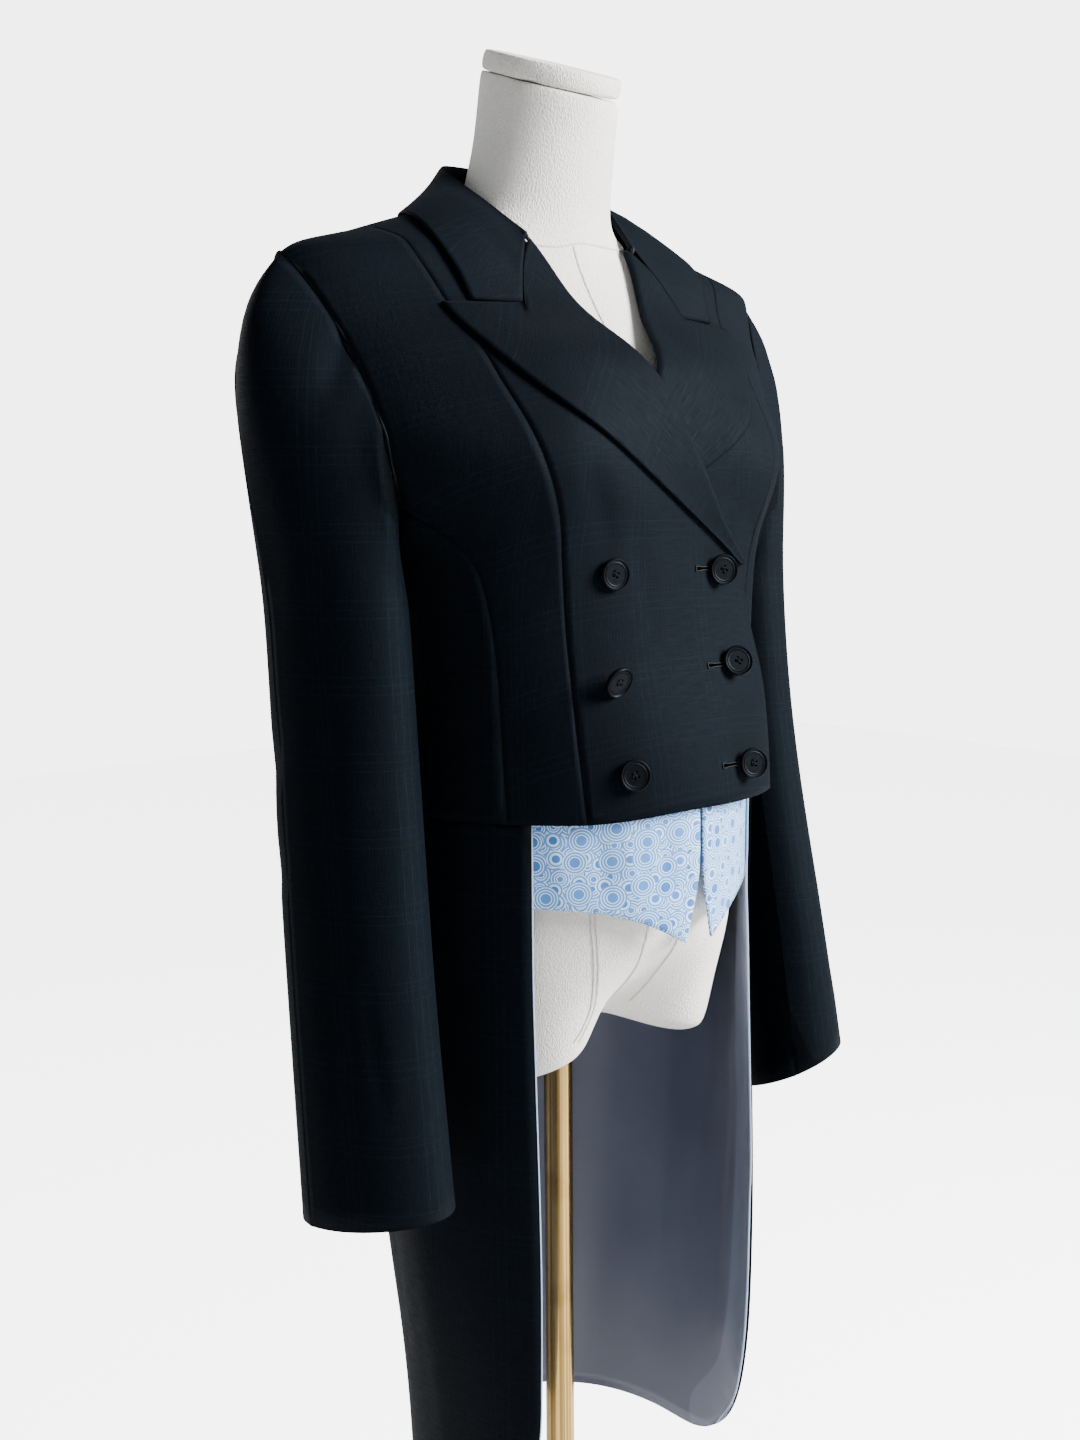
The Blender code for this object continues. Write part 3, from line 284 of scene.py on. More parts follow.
@dataclass(frozen=True)
class Worsted:
    """Fine worsted wool with a tone-in-tone windowpane of three close lines."""

    ground: Colour = (0.0013, 0.0026, 0.0046)
    pale: Colour = (0.0036, 0.0062, 0.0094)
    deep: Colour = (0.0006, 0.0011, 0.0020)
    line: float = 0.00045
    sheen: float = 0.010

    def threads(self, graph: Graph, place: Value) -> tuple[Value, Value]:
        """Long thin slubs that run up and across, each from 0 to 1.

        Args:
            graph: The material's graph.
            place: The cloth's map.

        Returns:
            The warp and the weft.
        """
        up = graph.grain(place, (1500.0, 70.0, 1.0), 2.0, 0.6)
        across = graph.grain(place, (70.0, 1500.0, 1.0), 2.0, 0.6)
        return up, across

    def group(self, along: Value, repeat: float) -> Value:
        """Mask of three close lines, one group a repeat.

        Args:
            along: Metres along the cloth.
            repeat: Metres from group to group.

        Returns:
            The mask, 1 on a line.
        """
        off = along.repeat(repeat).distance()
        middle = off.step(self.line * 0.4, self.line * 1.4, 1.0, 0.0)
        outer = (off - CHECK_GAP).distance().step(self.line * 0.4, self.line * 1.4, 1.0, 0.0)
        return middle.higher(outer)

    def material(self) -> bpy.types.Material:
        """Make the material.

        Returns:
            The finish.
        """
        graph = Graph("worsted")
        place = graph.cloth_place()
        across, up, _ = graph.parts(place)
        warp, weft = self.threads(graph, place)
        cloud = graph.noise(place, 9.0, 2.0)
        tone = (warp * 0.5 + weft * 0.5).step(0.38, 0.66)
        colour = graph.mix(tone, self.deep, self.ground)
        colour = graph.mix(cloud.step(0.35, 0.75, 0.0, 0.35), colour, self.deep)
        lines = self.group(across, CHECK_ACROSS) * warp.step(0.25, 0.65, 0.08, 0.46)
        cross = self.group(up, CHECK_UP) * weft.step(0.25, 0.65, 0.08, 0.38)
        colour = graph.mix(lines.higher(cross), colour, self.pale)
        slub = (warp - 0.66).step(0.0, 0.12) + (weft - 0.66).step(0.0, 0.12)
        colour = graph.mix(slub * 0.30, colour, self.pale)
        # Points on sharp edges and seam walls go most of the way to black: painted shade in the
        # seam gaps and along the cut edges.
        rim = graph.attribute("rim")
        colour = graph.mix(rim.step(0.94, 0.99, 0.0, 0.85), colour, (0.0, 0.0, 0.0))
        graph.set(Base_Color=colour, Roughness=weft.step(0.3, 0.7, 0.62, 0.78),
                  Sheen_Weight=self.sheen, Sheen_Roughness=0.45, Sheen_Tint=(0.62, 0.76, 1.0),
                  Specular_IOR_Level=0.045, Specular_Tint=(0.60, 0.80, 1.00),
                  Normal=graph.bump(warp + weft, 0.00022, 0.9))
        return graph.material


@dataclass(frozen=True)
class LiningSatin:
    """Blue-grey lining satin with a painted highlight along its turned front edge."""

    name: str = "lining_satin_fine"
    ground: Colour = (0.050, 0.060, 0.094)
    pale: Colour = (0.118, 0.138, 0.200)
    edge_width: float = 0.033

    def material(self) -> bpy.types.Material:
        """Make the material; its attribute to_edge is the distance to the front edge.

        Returns:
            The finish.
        """
        graph = Graph(self.name)
        place = graph.cloth_place()
        edge = graph.attribute("to_edge")
        warp = graph.grain(place, (2200.0, 60.0, 1.0), 1.0)
        cloud = graph.noise(place, 7.0, 3.0)
        colour = graph.mix(cloud.step(0.3, 0.7, 0.0, 0.30), self.ground, self.pale)
        # A band within edge_width of the front edge is mixed towards the pale tone: a painted
        # highlight where the lining turns to the light. The piping has no distances, so it takes
        # the pale tone at 0.75 all over, as its own colour.
        edge_highlight_band = edge.step(self.edge_width * 0.92, self.edge_width, 0.75, 0.0)
        colour = graph.mix(edge_highlight_band, colour, self.pale)
        graph.set(Base_Color=colour, Roughness=cloud.step(0.3, 0.7, 0.36, 0.46),
                  Specular_IOR_Level=0.55, Sheen_Weight=0.10,
                  Normal=graph.bump(warp, 0.00008, 0.7))
        return graph.material


@dataclass(frozen=True)
class RingSatin:
    """Light-blue satin packed with plain rings in the finish's own scattered layout."""

    cells: tuple[float, float, float] = (0.0205, 0.0150, 0.0108)
    reaches: tuple[float, float, float] = (0.0064, 0.0046, 0.0300)
    pitch: float = 0.00185
    line: float = 0.00030
    heart: float = 0.0034
    white: Colour = (0.56, 0.74, 0.93)
    blue: Colour = (0.075, 0.230, 0.550)
    deep: Colour = (0.030, 0.125, 0.370)

    def layer(self, graph: Graph, place: Value, number: int) -> tuple[Value, Value]:
        """One size of rings.

        Args:
            graph: The material's graph.
            place: The cloth's map.
            number: The layer, from large to small.

        Returns:
            The layer's colour, and a mask of where its rings lie.
        """
        cell = self.cells[number]
        moved = graph.node("ShaderNodeMapping", {}, {
            "Vector": place, "Location": (0.0037 * number, 0.0061 * number, 0.0)})
        scatter = graph.node("ShaderNodeTexVoronoi", {"voronoi_dimensions": "2D"},
                             {"Vector": moved, "Scale": 1.0 / cell, "Randomness": 0.62})
        away = scatter * cell
        chance = graph.parts(Value(graph, scatter.socket.node.outputs["Color"]))[0]
        lines = away.repeat(self.pitch).distance().step(self.line * 0.6, self.line * 1.5, 1.0, 0.0)
        size = self.heart * (1.0 - 0.22 * number)
        disc = (away - size).step(-0.0001, 0.0001, 1.0, 0.0)
        halo = (away - size - 0.0003).distance().step(0.0002, 0.0004, 1.0, 0.0)
        core = graph.mix(chance.step(0.2, 0.8, 0.0, 0.75), self.deep, self.blue)
        colour = graph.mix(lines.higher(halo), self.blue, self.white)
        colour = graph.mix(disc, colour, core)
        reach = self.reaches[number] + 0.0030 * chance
        return colour, (reach - away).step(-0.00005, 0.00005)

    def material(self) -> bpy.types.Material:
        """Make the material: large rings lie over middling ones, and those over small ones.

        Returns:
            The finish.
        """
        graph = Graph("ring_satin")
        place = graph.cloth_place()
        colour, _ = self.layer(graph, place, 2)
        for number in (1, 0):
            upper, mask = self.layer(graph, place, number)
            colour = graph.mix(mask, colour, upper)
        weave = graph.grain(place, (2600.0, 900.0, 1.0), 1.0)
        colour = graph.mix(weave.step(0.45, 0.8, 0.0, 0.18), colour, self.deep)
        graph.set(Base_Color=colour, Roughness=weave.step(0.3, 0.7, 0.34, 0.42),
                  Specular_IOR_Level=0.28, Sheen_Weight=0.04,
                  Normal=graph.bump(weave, 0.00010, 0.6))
        return graph.material


@dataclass(frozen=True)
class Jersey:
    """Off-white felted knit that covers the dress form."""

    name: str = "jersey_fine"
    ground: Colour = (0.760, 0.735, 0.690)
    shade: Colour = (0.600, 0.560, 0.505)

    def material(self) -> bpy.types.Material:
        """Make the material.

        Returns:
            The finish.
        """
        graph = Graph(self.name)
        place = graph.object_place()
        grain = graph.grain(place, (900.0, 900.0, 520.0), 2.0, 0.55)
        cloud = graph.noise(place, 14.0, 3.0)
        colour = graph.mix(cloud.step(0.35, 0.7, 0.0, 0.30), self.ground, self.shade)
        colour = graph.mix(grain.step(0.30, 0.55, 0.50, 0.0), colour, self.shade)
        graph.set(Base_Color=colour, Roughness=0.88, Sheen_Weight=0.20,
                  Specular_IOR_Level=0.25, Normal=graph.bump(grain, 0.0012, 1.0))
        return graph.material


@dataclass(frozen=True)
class Horn:
    """Near-black polished button."""

    ground: Colour = (0.0016, 0.0018, 0.0022)
    pale: Colour = (0.0026, 0.0028, 0.0033)

    def material(self) -> bpy.types.Material:
        """Make the material.

        Returns:
            The finish.
        """
        graph = Graph("button_horn")
        place = graph.object_place()
        vein = graph.grain(place, (300.0, 300.0, 900.0), 3.0)
        graph.set(Base_Color=graph.mix(vein.step(0.5, 0.8), self.ground, self.pale),
                  Roughness=vein.step(0.3, 0.8, 0.40, 0.48), Specular_IOR_Level=0.05,
                  Specular_Tint=(0.60, 0.80, 1.00))
        return graph.material


@dataclass(frozen=True)
class Thread:
    """Twisted sewing thread in one colour."""

    name: str
    ground: Colour

    def material(self) -> bpy.types.Material:
        """Make the material.

        Returns:
            The finish.
        """
        graph = Graph(self.name)
        twist = graph.noise(graph.object_place(), 2600.0, 1.0)
        pale = tuple(min(1.0, part * 1.9 + 0.001) for part in self.ground)
        graph.set(Base_Color=graph.mix(twist.step(0.35, 0.7), self.ground, pale),
                  Roughness=0.6, Specular_IOR_Level=0.12,
                  Normal=graph.bump(twist, 0.0001, 0.6))
        return graph.material


@dataclass(frozen=True)
class PolishedBrass:
    """Polished brass, drawn along its length, with lengthwise streaks of painted reflection."""

    ground: Colour = (0.560, 0.370, 0.130)
    tarnish: Colour = (0.120, 0.068, 0.020)

    def material(self) -> bpy.types.Material:
        """Make the material.

        Returns:
            The finish.
        """
        graph = Graph("brass_polished")
        place = graph.object_place()
        drawn = graph.grain(place, (420.0, 420.0, 1.2))
        spots = graph.noise(place, 26.0, 4.0)
        colour = graph.mix(spots.step(0.5, 0.75, 0.0, 0.45), self.ground, self.tarnish)
        # The same lengthwise streaks that set roughness and bump also darken the colour: painted
        # reflections of the surroundings. The spots mixed in above are tarnished patches.
        graph.set(Base_Color=graph.mix(drawn.step(0.38, 0.62, 0.0, 0.85), colour, self.tarnish),
                  Metallic=1.0, Roughness=drawn.step(0.3, 0.7, 0.16, 0.28),
                  Normal=graph.bump(drawn, 0.00004, 0.5))
        return graph.material


class Wardrobe:
    """All finishes, each made once."""

    def __init__(self) -> None:
        """Make every material."""
        self.wool = Worsted().material()
        self.lining = LiningSatin().material()
        self.piping = LiningSatin("piping_satin", (0.19, 0.25, 0.37), (0.27, 0.34, 0.47)).material()
        self.rings = RingSatin().material()
        self.jersey = Jersey().material()
        # A darker copy of the jersey for the form's seam cords: painted shade along the raised
        # seams.
        self.jersey_seam = Jersey("jersey_seam", (0.600, 0.570, 0.520),
                                  (0.500, 0.465, 0.415)).material()
        self.horn = Horn().material()
        self.black_thread = Thread("black_thread", (0.0011, 0.0018, 0.0028)).material()
        self.blue_thread = Thread("blue_thread", (0.42, 0.56, 0.76)).material()
        self.brass = PolishedBrass().material()


# Surfaces


def ramp(value: Points, low: float, high: float) -> Points:
    """Rise smoothly from 0 at low to 1 at high: share squared times 3 less twice the share."""
    share = np.clip((np.asarray(value, float) - low) / (high - low), 0.0, 1.0)
    return share * share * (3.0 - 2.0 * share)


def turn_of(points: Points, centre: tuple[float, float] | Points = BODY_CENTRE) -> Points:
    """Angle round an upright axis, 0 at the front and a right angle at the wearer's left."""
    middle = np.asarray(centre, float)
    return np.arctan2(points[..., 0] - middle[..., 0], middle[..., 1] - points[..., 1])


def unit(vectors: Points) -> Points:
    """Vectors scaled to length 1."""
    return vectors / np.maximum(np.linalg.norm(vectors, axis=-1, keepdims=True), 1e-12)


def grid_faces(rows: int, columns: int, ring: bool = False) -> Points:
    """Four-sided faces that join a grid's points; a ring closes its columns.

    Args:
        rows: Points along the grid.
        columns: Points across it.
        ring: Whether the last column joins the first.

    Returns:
        Rows of four point numbers.
    """
    index = np.arange(rows * columns).reshape(rows, columns)
    after = np.roll(index, -1, axis=1)
    if not ring:
        index, after = index[:, :-1], after[:, :-1]
    return np.stack([index[:-1], after[:-1], after[1:], index[1:]], -1).reshape(-1, 4)


def places_of(mesh: bpy.types.Mesh) -> Points:
    """A mesh's points, as rows of x, y and z.

    Args:
        mesh: The mesh.

    Returns:
        The points.
    """
    points = np.zeros(len(mesh.vertices) * 3)
    mesh.vertices.foreach_get("co", points)
    return points.reshape(-1, 3)


def level_ways(turn: Points) -> Points:
    """Level unit vectors away from an upright axis, at angles round it: sine and less cosine."""
    return np.stack([np.sin(turn), -np.cos(turn), 0.0 * turn], -1)


def full_turn(count: int) -> Points:
    """Angles spread evenly over one turn, the last short of the first."""
    return np.linspace(0.0, 2.0 * math.pi, count, endpoint=False)


def turned_rings(profile: Points, turns: Points) -> Points:
    """Rings round the upright axis, one for each radius and height of a profile."""
    return np.stack([profile[:, :1] * np.cos(turns), profile[:, :1] * np.sin(turns),
                     profile[:, 1:] + 0.0 * turns], -1)


class Faces(list):
    """Faces of unequal length that can be turned to a list as an array can."""

    def tolist(self) -> list[list[int]]:
        """The faces themselves."""
        return list(self)


def new_piece(name: str, points: Points, faces: Points | Faces, material: bpy.types.Material,
              slot: Slot) -> bpy.types.Object:
    """Make a smooth object of points and faces that rides on the part.

    Args:
        name: The piece's name.
        points: Rows of x, y and z.
        faces: Rows of point numbers.
        material: Its finish.
        slot: The record's slot that the finish belongs to; not used.

    Returns:
        The object, in place.
    """
    mesh = bpy.data.meshes.new(name)
    mesh.from_pydata(points.reshape(-1, 3).tolist(), [], faces.tolist())
    mesh.update()
    thing = bpy.data.objects.new(name, mesh)
    bpy.context.scene.collection.objects.link(thing)
    mesh.materials.append(material)
    mesh.shade_smooth()
    mesh.set_sharp_from_angle(angle=PIECE_SHARP)
    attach(thing, "root")
    LOG.info("%s: %d faces", name, len(mesh.polygons))
    return thing


def tube(path: Points, radius: float | Points, sides: int, closed: bool = False
         ) -> tuple[Points, Points]:
    """A round profile carried along a path.

    Each ring stands square to the path; its first axis is square to one fixed direction, so the
    rings don't twist. Open ends are drawn in to a point.

    Args:
        path: Points along the middle.
        radius: One radius, or one a point.
        sides: Points round a ring.
        closed: Whether the path joins its own start.

    Returns:
        The points and the faces.
    """
    if closed:
        along = unit(np.roll(path, -1, axis=0) - np.roll(path, 1, axis=0))
    else:
        along = unit(np.gradient(path, axis=0))
    fixed = np.array([0.31, 0.87, 0.39])
    first = unit(np.cross(along, fixed))
    second = np.cross(along, first)
    size = np.broadcast_to(np.asarray(radius, float), len(path)).copy()
    if not closed:
        size[0] *= TUBE_TIP
        size[-1] *= TUBE_TIP
    turns = full_turn(sides)
    rings = (path[:, None] + size[:, None, None] * (
        first[:, None] * np.cos(turns)[:, None] + second[:, None] * np.sin(turns)[:, None]))
    if closed:
        rings = np.concatenate([rings, rings[:1]])
    faces = grid_faces(len(rings), sides, ring=True)
    if closed:
        faces = np.where(faces >= len(path) * sides, faces - len(path) * sides, faces)
        rings = rings[:-1]
        return rings.reshape(-1, 3), faces
    count = len(path) * sides
    turn = np.arange(sides)
    after = np.roll(turn, -1)
    start = np.stack([after, turn, np.full(sides, count), np.full(sides, count)], -1)
    last = count - sides
    end = np.stack([turn + last, after + last, np.full(sides, count + 1),
                    np.full(sides, count + 1)], -1)
    points = np.concatenate([rings.reshape(-1, 3), path[:1], path[-1:]])
    return points, np.concatenate([faces, start, end])


def joined(parts: Sequence[tuple[Points, Points]]) -> tuple[Points, Faces]:
    """Join meshes into one, with doubled corners of a face dropped.

    Args:
        parts: Points and faces of each.

    Returns:
        The points and faces of all.
    """
    offset = 0
    points, faces = [], Faces()
    for place, face in parts:
        points.append(place)
        faces += [list(dict.fromkeys(row)) for row in (face + offset).tolist()]
        offset += len(place)
    return np.concatenate(points), faces


def spline(places: Sequence[Sequence[float]], count: int) -> Points:
    """Read a smooth line through a few places, evenly along its length.

    Each stretch is a cubic whose slopes at a place are half the step between its neighbours.

    Args:
        places: Rows of numbers, in order.
        count: Points of the result.

    Returns:
        The line's points.
    """
    rows = np.asarray(places, float)
    padded = np.concatenate([2 * rows[:1] - rows[1:2], rows, 2 * rows[-1:] - rows[-2:-1]])
    slopes = (padded[2:] - padded[:-2]) / 2.0
    where = np.linspace(0.0, len(rows) - 1.0, SPLINE_STEPS * len(rows))
    cell = np.minimum(where.astype(int), len(rows) - 2)
    share = (where - cell)[:, None]
    fine = ((1.0 + 2.0 * share) * (1.0 - share) ** 2 * rows[cell]
            + share ** 2 * (3.0 - 2.0 * share) * rows[cell + 1]
            + share * (1.0 - share) ** 2 * slopes[cell]
            + share ** 2 * (share - 1.0) * slopes[cell + 1])
    length = np.concatenate([[0.0], np.cumsum(np.linalg.norm(np.diff(fine, axis=0), axis=1))])
    even = np.linspace(0.0, length[-1], count)
    return np.stack([np.interp(even, length, column) for column in fine.T], -1)


@dataclass(frozen=True)
class Fold:
    """A soft trough laid in a cloth; a negative depth makes it a ridge.

    Its ends are (degrees round the axis, height). Its depth falls off with distance from the
    line between them as the bell curve of distance over width, and along the line it swells
    from 0.45 of itself at the ends to all of it in the middle, as half a sine wave.
    """

    start: tuple[float, float]
    end: tuple[float, float]
    width: float
    depth: float


@dataclass
class Drape:
    """The folds of one tube of cloth, round the body or round an arm."""

    folds: Sequence[Fold]
    radius: float = BODY_RADIUS
    axis: Callable[[Points], Points] = lambda height: np.broadcast_to(
        np.array(BODY_CENTRE), (*height.shape, 2))
    mirror: int = 1

    def turns(self, points: Points) -> Points:
        """Angle round the axis, with the wearer's outside to the left of the front."""
        turned = points * np.array([self.mirror, 1.0, 1.0])
        return turn_of(turned, self.axis(points[..., 2]))

    def outward(self, points: Points) -> Points:
        """Level unit vectors from the axis through each point."""
        turn = self.turns(points)
        return level_ways(turn) * np.array([self.mirror, 1.0, 1.0])

    def shift(self, points: Points) -> Points:
        """How far each point moves, as vectors towards or away from the axis.

        Args:
            points: Rows of x, y and z.

        Returns:
            One vector a point.
        """
        turn = self.turns(points)
        height = points[..., 2]
        amount = np.zeros(len(points))
        for fold in self.folds:
            start = np.array([math.radians(fold.start[0]) * self.radius, fold.start[1]])
            end = np.array([math.radians(fold.end[0]) * self.radius, fold.end[1]])
            middle = math.radians((fold.start[0] + fold.end[0]) / 2.0)
            near = middle + (turn - middle + math.pi) % (2.0 * math.pi) - math.pi
            here = np.stack([near * self.radius, height], -1)
            line = end - start
            share = np.clip(((here - start) @ line) / (line @ line), 0.0, 1.0)
            away = np.linalg.norm(here - start - share[:, None] * line, axis=-1)
            swell = 0.45 + 0.55 * np.sin(math.pi * np.clip(share, 0.0, 1.0))
            amount -= fold.depth * swell * np.exp(-(away / fold.width) ** 2)
        return self.outward(points) * amount[:, None]


@dataclass
class FineCopy:
    """A fine smooth copy that stands for a node of the frame."""

    node: str
    slot: Slot

    def base(self, word: str) -> bpy.types.Object:
        """Copy the node: doubles merged, rims kept sharp and marked, then subdivided.

        The layer lateral adds up the normals of a thin wall's edge faces, and rim marks points
        on a sharp edge.

        Args:
            word: What the piece's name starts with.

        Returns:
            The copy, with neither finish nor body yet.
        """
        work = bmesh.new()
        work.from_mesh(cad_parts[self.node].data)
        bmesh.ops.remove_doubles(work, verts=work.verts, dist=MERGE_DISTANCE)
        bmesh.ops.join_triangles(work, faces=work.faces, angle_face_threshold=0.7,
                                 angle_shape_threshold=1.6)
        crease = work.edges.layers.float.new("crease_edge")
        rim = work.verts.layers.float.new("rim")
        lateral = work.verts.layers.float_vector.new("lateral")
        for face in work.faces:
            if min(edge.calc_length() for edge in face.edges) < THIN_EDGE:
                for corner in face.verts:
                    corner[lateral] = corner[lateral] + face.normal
        for edge in work.edges:
            if len(edge.link_faces) == 2 and edge.calc_face_angle() > RIM_ANGLE:
                edge[crease] = 1.0
                edge.verts[0][rim] = 1.0
                edge.verts[1][rim] = 1.0
        mesh = bpy.data.meshes.new(word + self.node)
        work.to_mesh(mesh)
        work.free()
        thing = bpy.data.objects.new(word + self.node, mesh)
        bpy.context.scene.collection.objects.link(thing)
        finer = thing.modifiers.new("finer", "SUBSURF")
        finer.levels = SMOOTH_LEVELS
        finer.render_levels = SMOOTH_LEVELS
        graph = bpy.context.evaluated_depsgraph_get()
        thing.data = bpy.data.meshes.new_from_object(thing.evaluated_get(graph))
        thing.modifiers.clear()
        thing.data.name = thing.name
        bpy.data.meshes.remove(mesh)
        return thing

    def dress(self, thing: bpy.types.Object, material: bpy.types.Material, sharp: float) -> None:
        """Give the copy its finish and let it stand for the node.

        Args:
            thing: The copy.
            material: Its finish.
            sharp: The angle from which an edge stays sharp.
        """
        mesh = thing.data
        mesh.materials.clear()
        mesh.materials.append(material)
        mesh.shade_smooth()
        mesh.set_sharp_from_angle(angle=sharp)
        mesh.update()
        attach(thing, "root")
        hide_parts(self.node)
        LOG.info("%s: %d faces", thing.name, len(mesh.polygons))


@dataclass
class Cut(FineCopy):
    """One cut piece of cloth that stands for its node.

    Flat is the width and length that the piece is cut from, and area what the cut itself has;
    neither is used.
    Grow is how far its seam edges are let out, so that neighbours meet.
    """

    flat: tuple[float, float]
    area: float
    grow: float = 0.00028

    def build(self, material: bpy.types.Material, drape: Drape,
              layout: Callable[[Points], Points]) -> bpy.types.Object:
        """Make the piece.

        Args:
            material: Its finish.
            drape: The folds laid in it.
            layout: Gives the cloth's map, across and up in metres, for points.

        Returns:
            The finished piece.
        """
        thing = self.base("cloth_")
        mesh = thing.data
        points = places_of(mesh)
        rim = np.zeros(len(points))
        mesh.attributes["rim"].data.foreach_get("value", rim)
        place = layout(points)
        lateral = np.zeros(points.size)
        mesh.attributes["lateral"].data.foreach_get("vector", lateral)
        moved = points + unit(lateral.reshape(-1, 3)) * (self.grow * (rim > 0.98))[:, None]
        moved = moved + drape.shift(points)
        mesh.vertices.foreach_set("co", moved.ravel())
        self.map_cloth(mesh, place)
        self.dress(thing, material, CLOTH_SHARP)
        return thing

    @staticmethod
    def map_cloth(mesh: bpy.types.Mesh, place: Points) -> None:
        """Write the cloth's map, one place a corner.

        Args:
            mesh: The piece's mesh.
            place: The map's place of each point.
        """
        while mesh.uv_layers:
            mesh.uv_layers.remove(mesh.uv_layers[0])
        layer = mesh.uv_layers.new(name="cloth")
        corners = np.zeros(len(mesh.loops), int)
        mesh.loops.foreach_get("vertex_index", corners)
        layer.data.foreach_set("uv", place[corners].ravel())


def caster(thing: bpy.types.Object) -> BVHTree:
    """A tree that finds where a line meets an object's mesh."""
    return BVHTree.FromObject(thing, bpy.context.evaluated_depsgraph_get())


def laid_on(tree: BVHTree, starts: Points, ways: Points, rise: float) -> Points:
    """Where lines from starts along ways first meet a surface, raised back towards them.

    Args:
        tree: The surface.
        starts: Where the lines start.
        ways: Their unit vectors.
        rise: How far back from the surface.

    Returns:
        The raised points that were met.
    """
    found = []
    for start, way in zip(starts, ways):
        hit = tree.ray_cast(Vector(start), Vector(way))[0]
        if hit is not None:
            found.append(np.array(hit) - way * rise)
    return np.array(found)


# The coat


@dataclass
class CoatBody:
    """Fronts, side fronts, side bodies and backs, with the folds that the body has."""

    folds: Sequence[Fold] = (
        Fold((-31.0, 1.226), (-25.0, 1.172), 0.0110, 0.0024),
        Fold((-40.0, 1.200), (-37.5, 1.150), 0.0120, -0.0010),
        Fold((-17.0, 1.190), (-12.0, 1.130), 0.0100, 0.0010),
        Fold((31.0, 1.236), (23.0, 1.196), 0.0090, 0.0028),
        Fold((40.0, 1.205), (45.0, 1.125), 0.0090, -0.0014),
        Fold((50.0, 1.070), (78.0, 1.052), 0.0090, 0.0014),
        Fold((-52.0, 1.062), (-80.0, 1.046), 0.0100, 0.0013),
        Fold((-58.0, 1.100), (-90.0, 1.092), 0.0090, 0.0010),
        Fold((-104.0, 1.120), (-138.0, 1.062), 0.0120, 0.0018),
        Fold((100.0, 1.112), (132.0, 1.050), 0.0110, 0.0022),
        Fold((-148.0, 1.060), (-174.0, 1.046), 0.0090, 0.0016),
        Fold((146.0, 1.074), (172.0, 1.058), 0.0100, 0.0014),
        Fold((-140.0, 1.215), (-150.0, 1.300), 0.0180, 0.0020),
        Fold((143.0, 1.190), (150.0, 1.290), 0.0160, 0.0024),
        Fold((-98.0, 0.960), (-106.0, 0.600), 0.0220, 0.0030),
        Fold((-84.0, 0.900), (-80.0, 0.520), 0.0200, -0.0022),
        Fold((-132.0, 0.950), (-126.0, 0.500), 0.0240, -0.0030),
        Fold((-160.0, 0.940), (-156.0, 0.500), 0.0200, 0.0036),
        Fold((52.0, 0.935), (60.0, 0.770), 0.0110, 0.0042),
        Fold((60.0, 0.790), (60.0, 0.560), 0.0120, 0.0046),
        Fold((78.0, 0.930), (82.0, 0.560), 0.0170, -0.0024),
        Fold((100.0, 0.940), (94.0, 0.540), 0.0230, -0.0028),
        Fold((128.0, 0.960), (134.0, 0.520), 0.0220, 0.0034),
        Fold((162.0, 0.930), (158.0, 0.490), 0.0210, -0.0026),
    )
    drape: Drape = field(init=False)

    def __post_init__(self) -> None:
        """Collect the folds into one drape."""
        self.drape = Drape(self.folds)

    @staticmethod
    def front_map(points: Points) -> Points:
        """Map of a front: across it runs with X and swells round the side, up it follows the slope.

        Args:
            points: Rows of x, y and z.

        Returns:
            The map's places.
        """
        x = points[:, 0]
        across = x * (1.0 + 0.9 * (np.abs(x) / 0.15) ** 4) + 0.0860
        up = points[:, 2] + 0.5 * (points[:, 1] + 0.12) - 0.0098
        return np.stack([across, up], -1)

    @staticmethod
    def round_map(points: Points) -> Points:
        """Map of a side, back or tail: across is the turn times the body's radius, up is height."""
        turn = np.abs(turn_of(points))
        return np.stack([turn * BODY_RADIUS + 0.0120, points[:, 2] - 0.0098], -1)

    def build(self, finishes: Wardrobe) -> None:
        """Make every panel above the waist and the backs.

        Args:
            finishes: All finishes.
        """
        for side in Side:
            for stem, flat, area, layout in (
                    ("front", (0.26, 0.42), 0.0590, self.front_map),
                    ("side_front", (0.12, 0.42), 0.0285, self.front_map),
                    ("side_body", (0.26, 0.25), 0.0465, self.round_map),
                    ("back", (0.22, 0.94), 0.0825, self.round_map)):
                cut = Cut(f"{stem}_{side.word}", Slot.WOOL, flat, area)
                cut.build(finishes.wool, self.drape, layout)


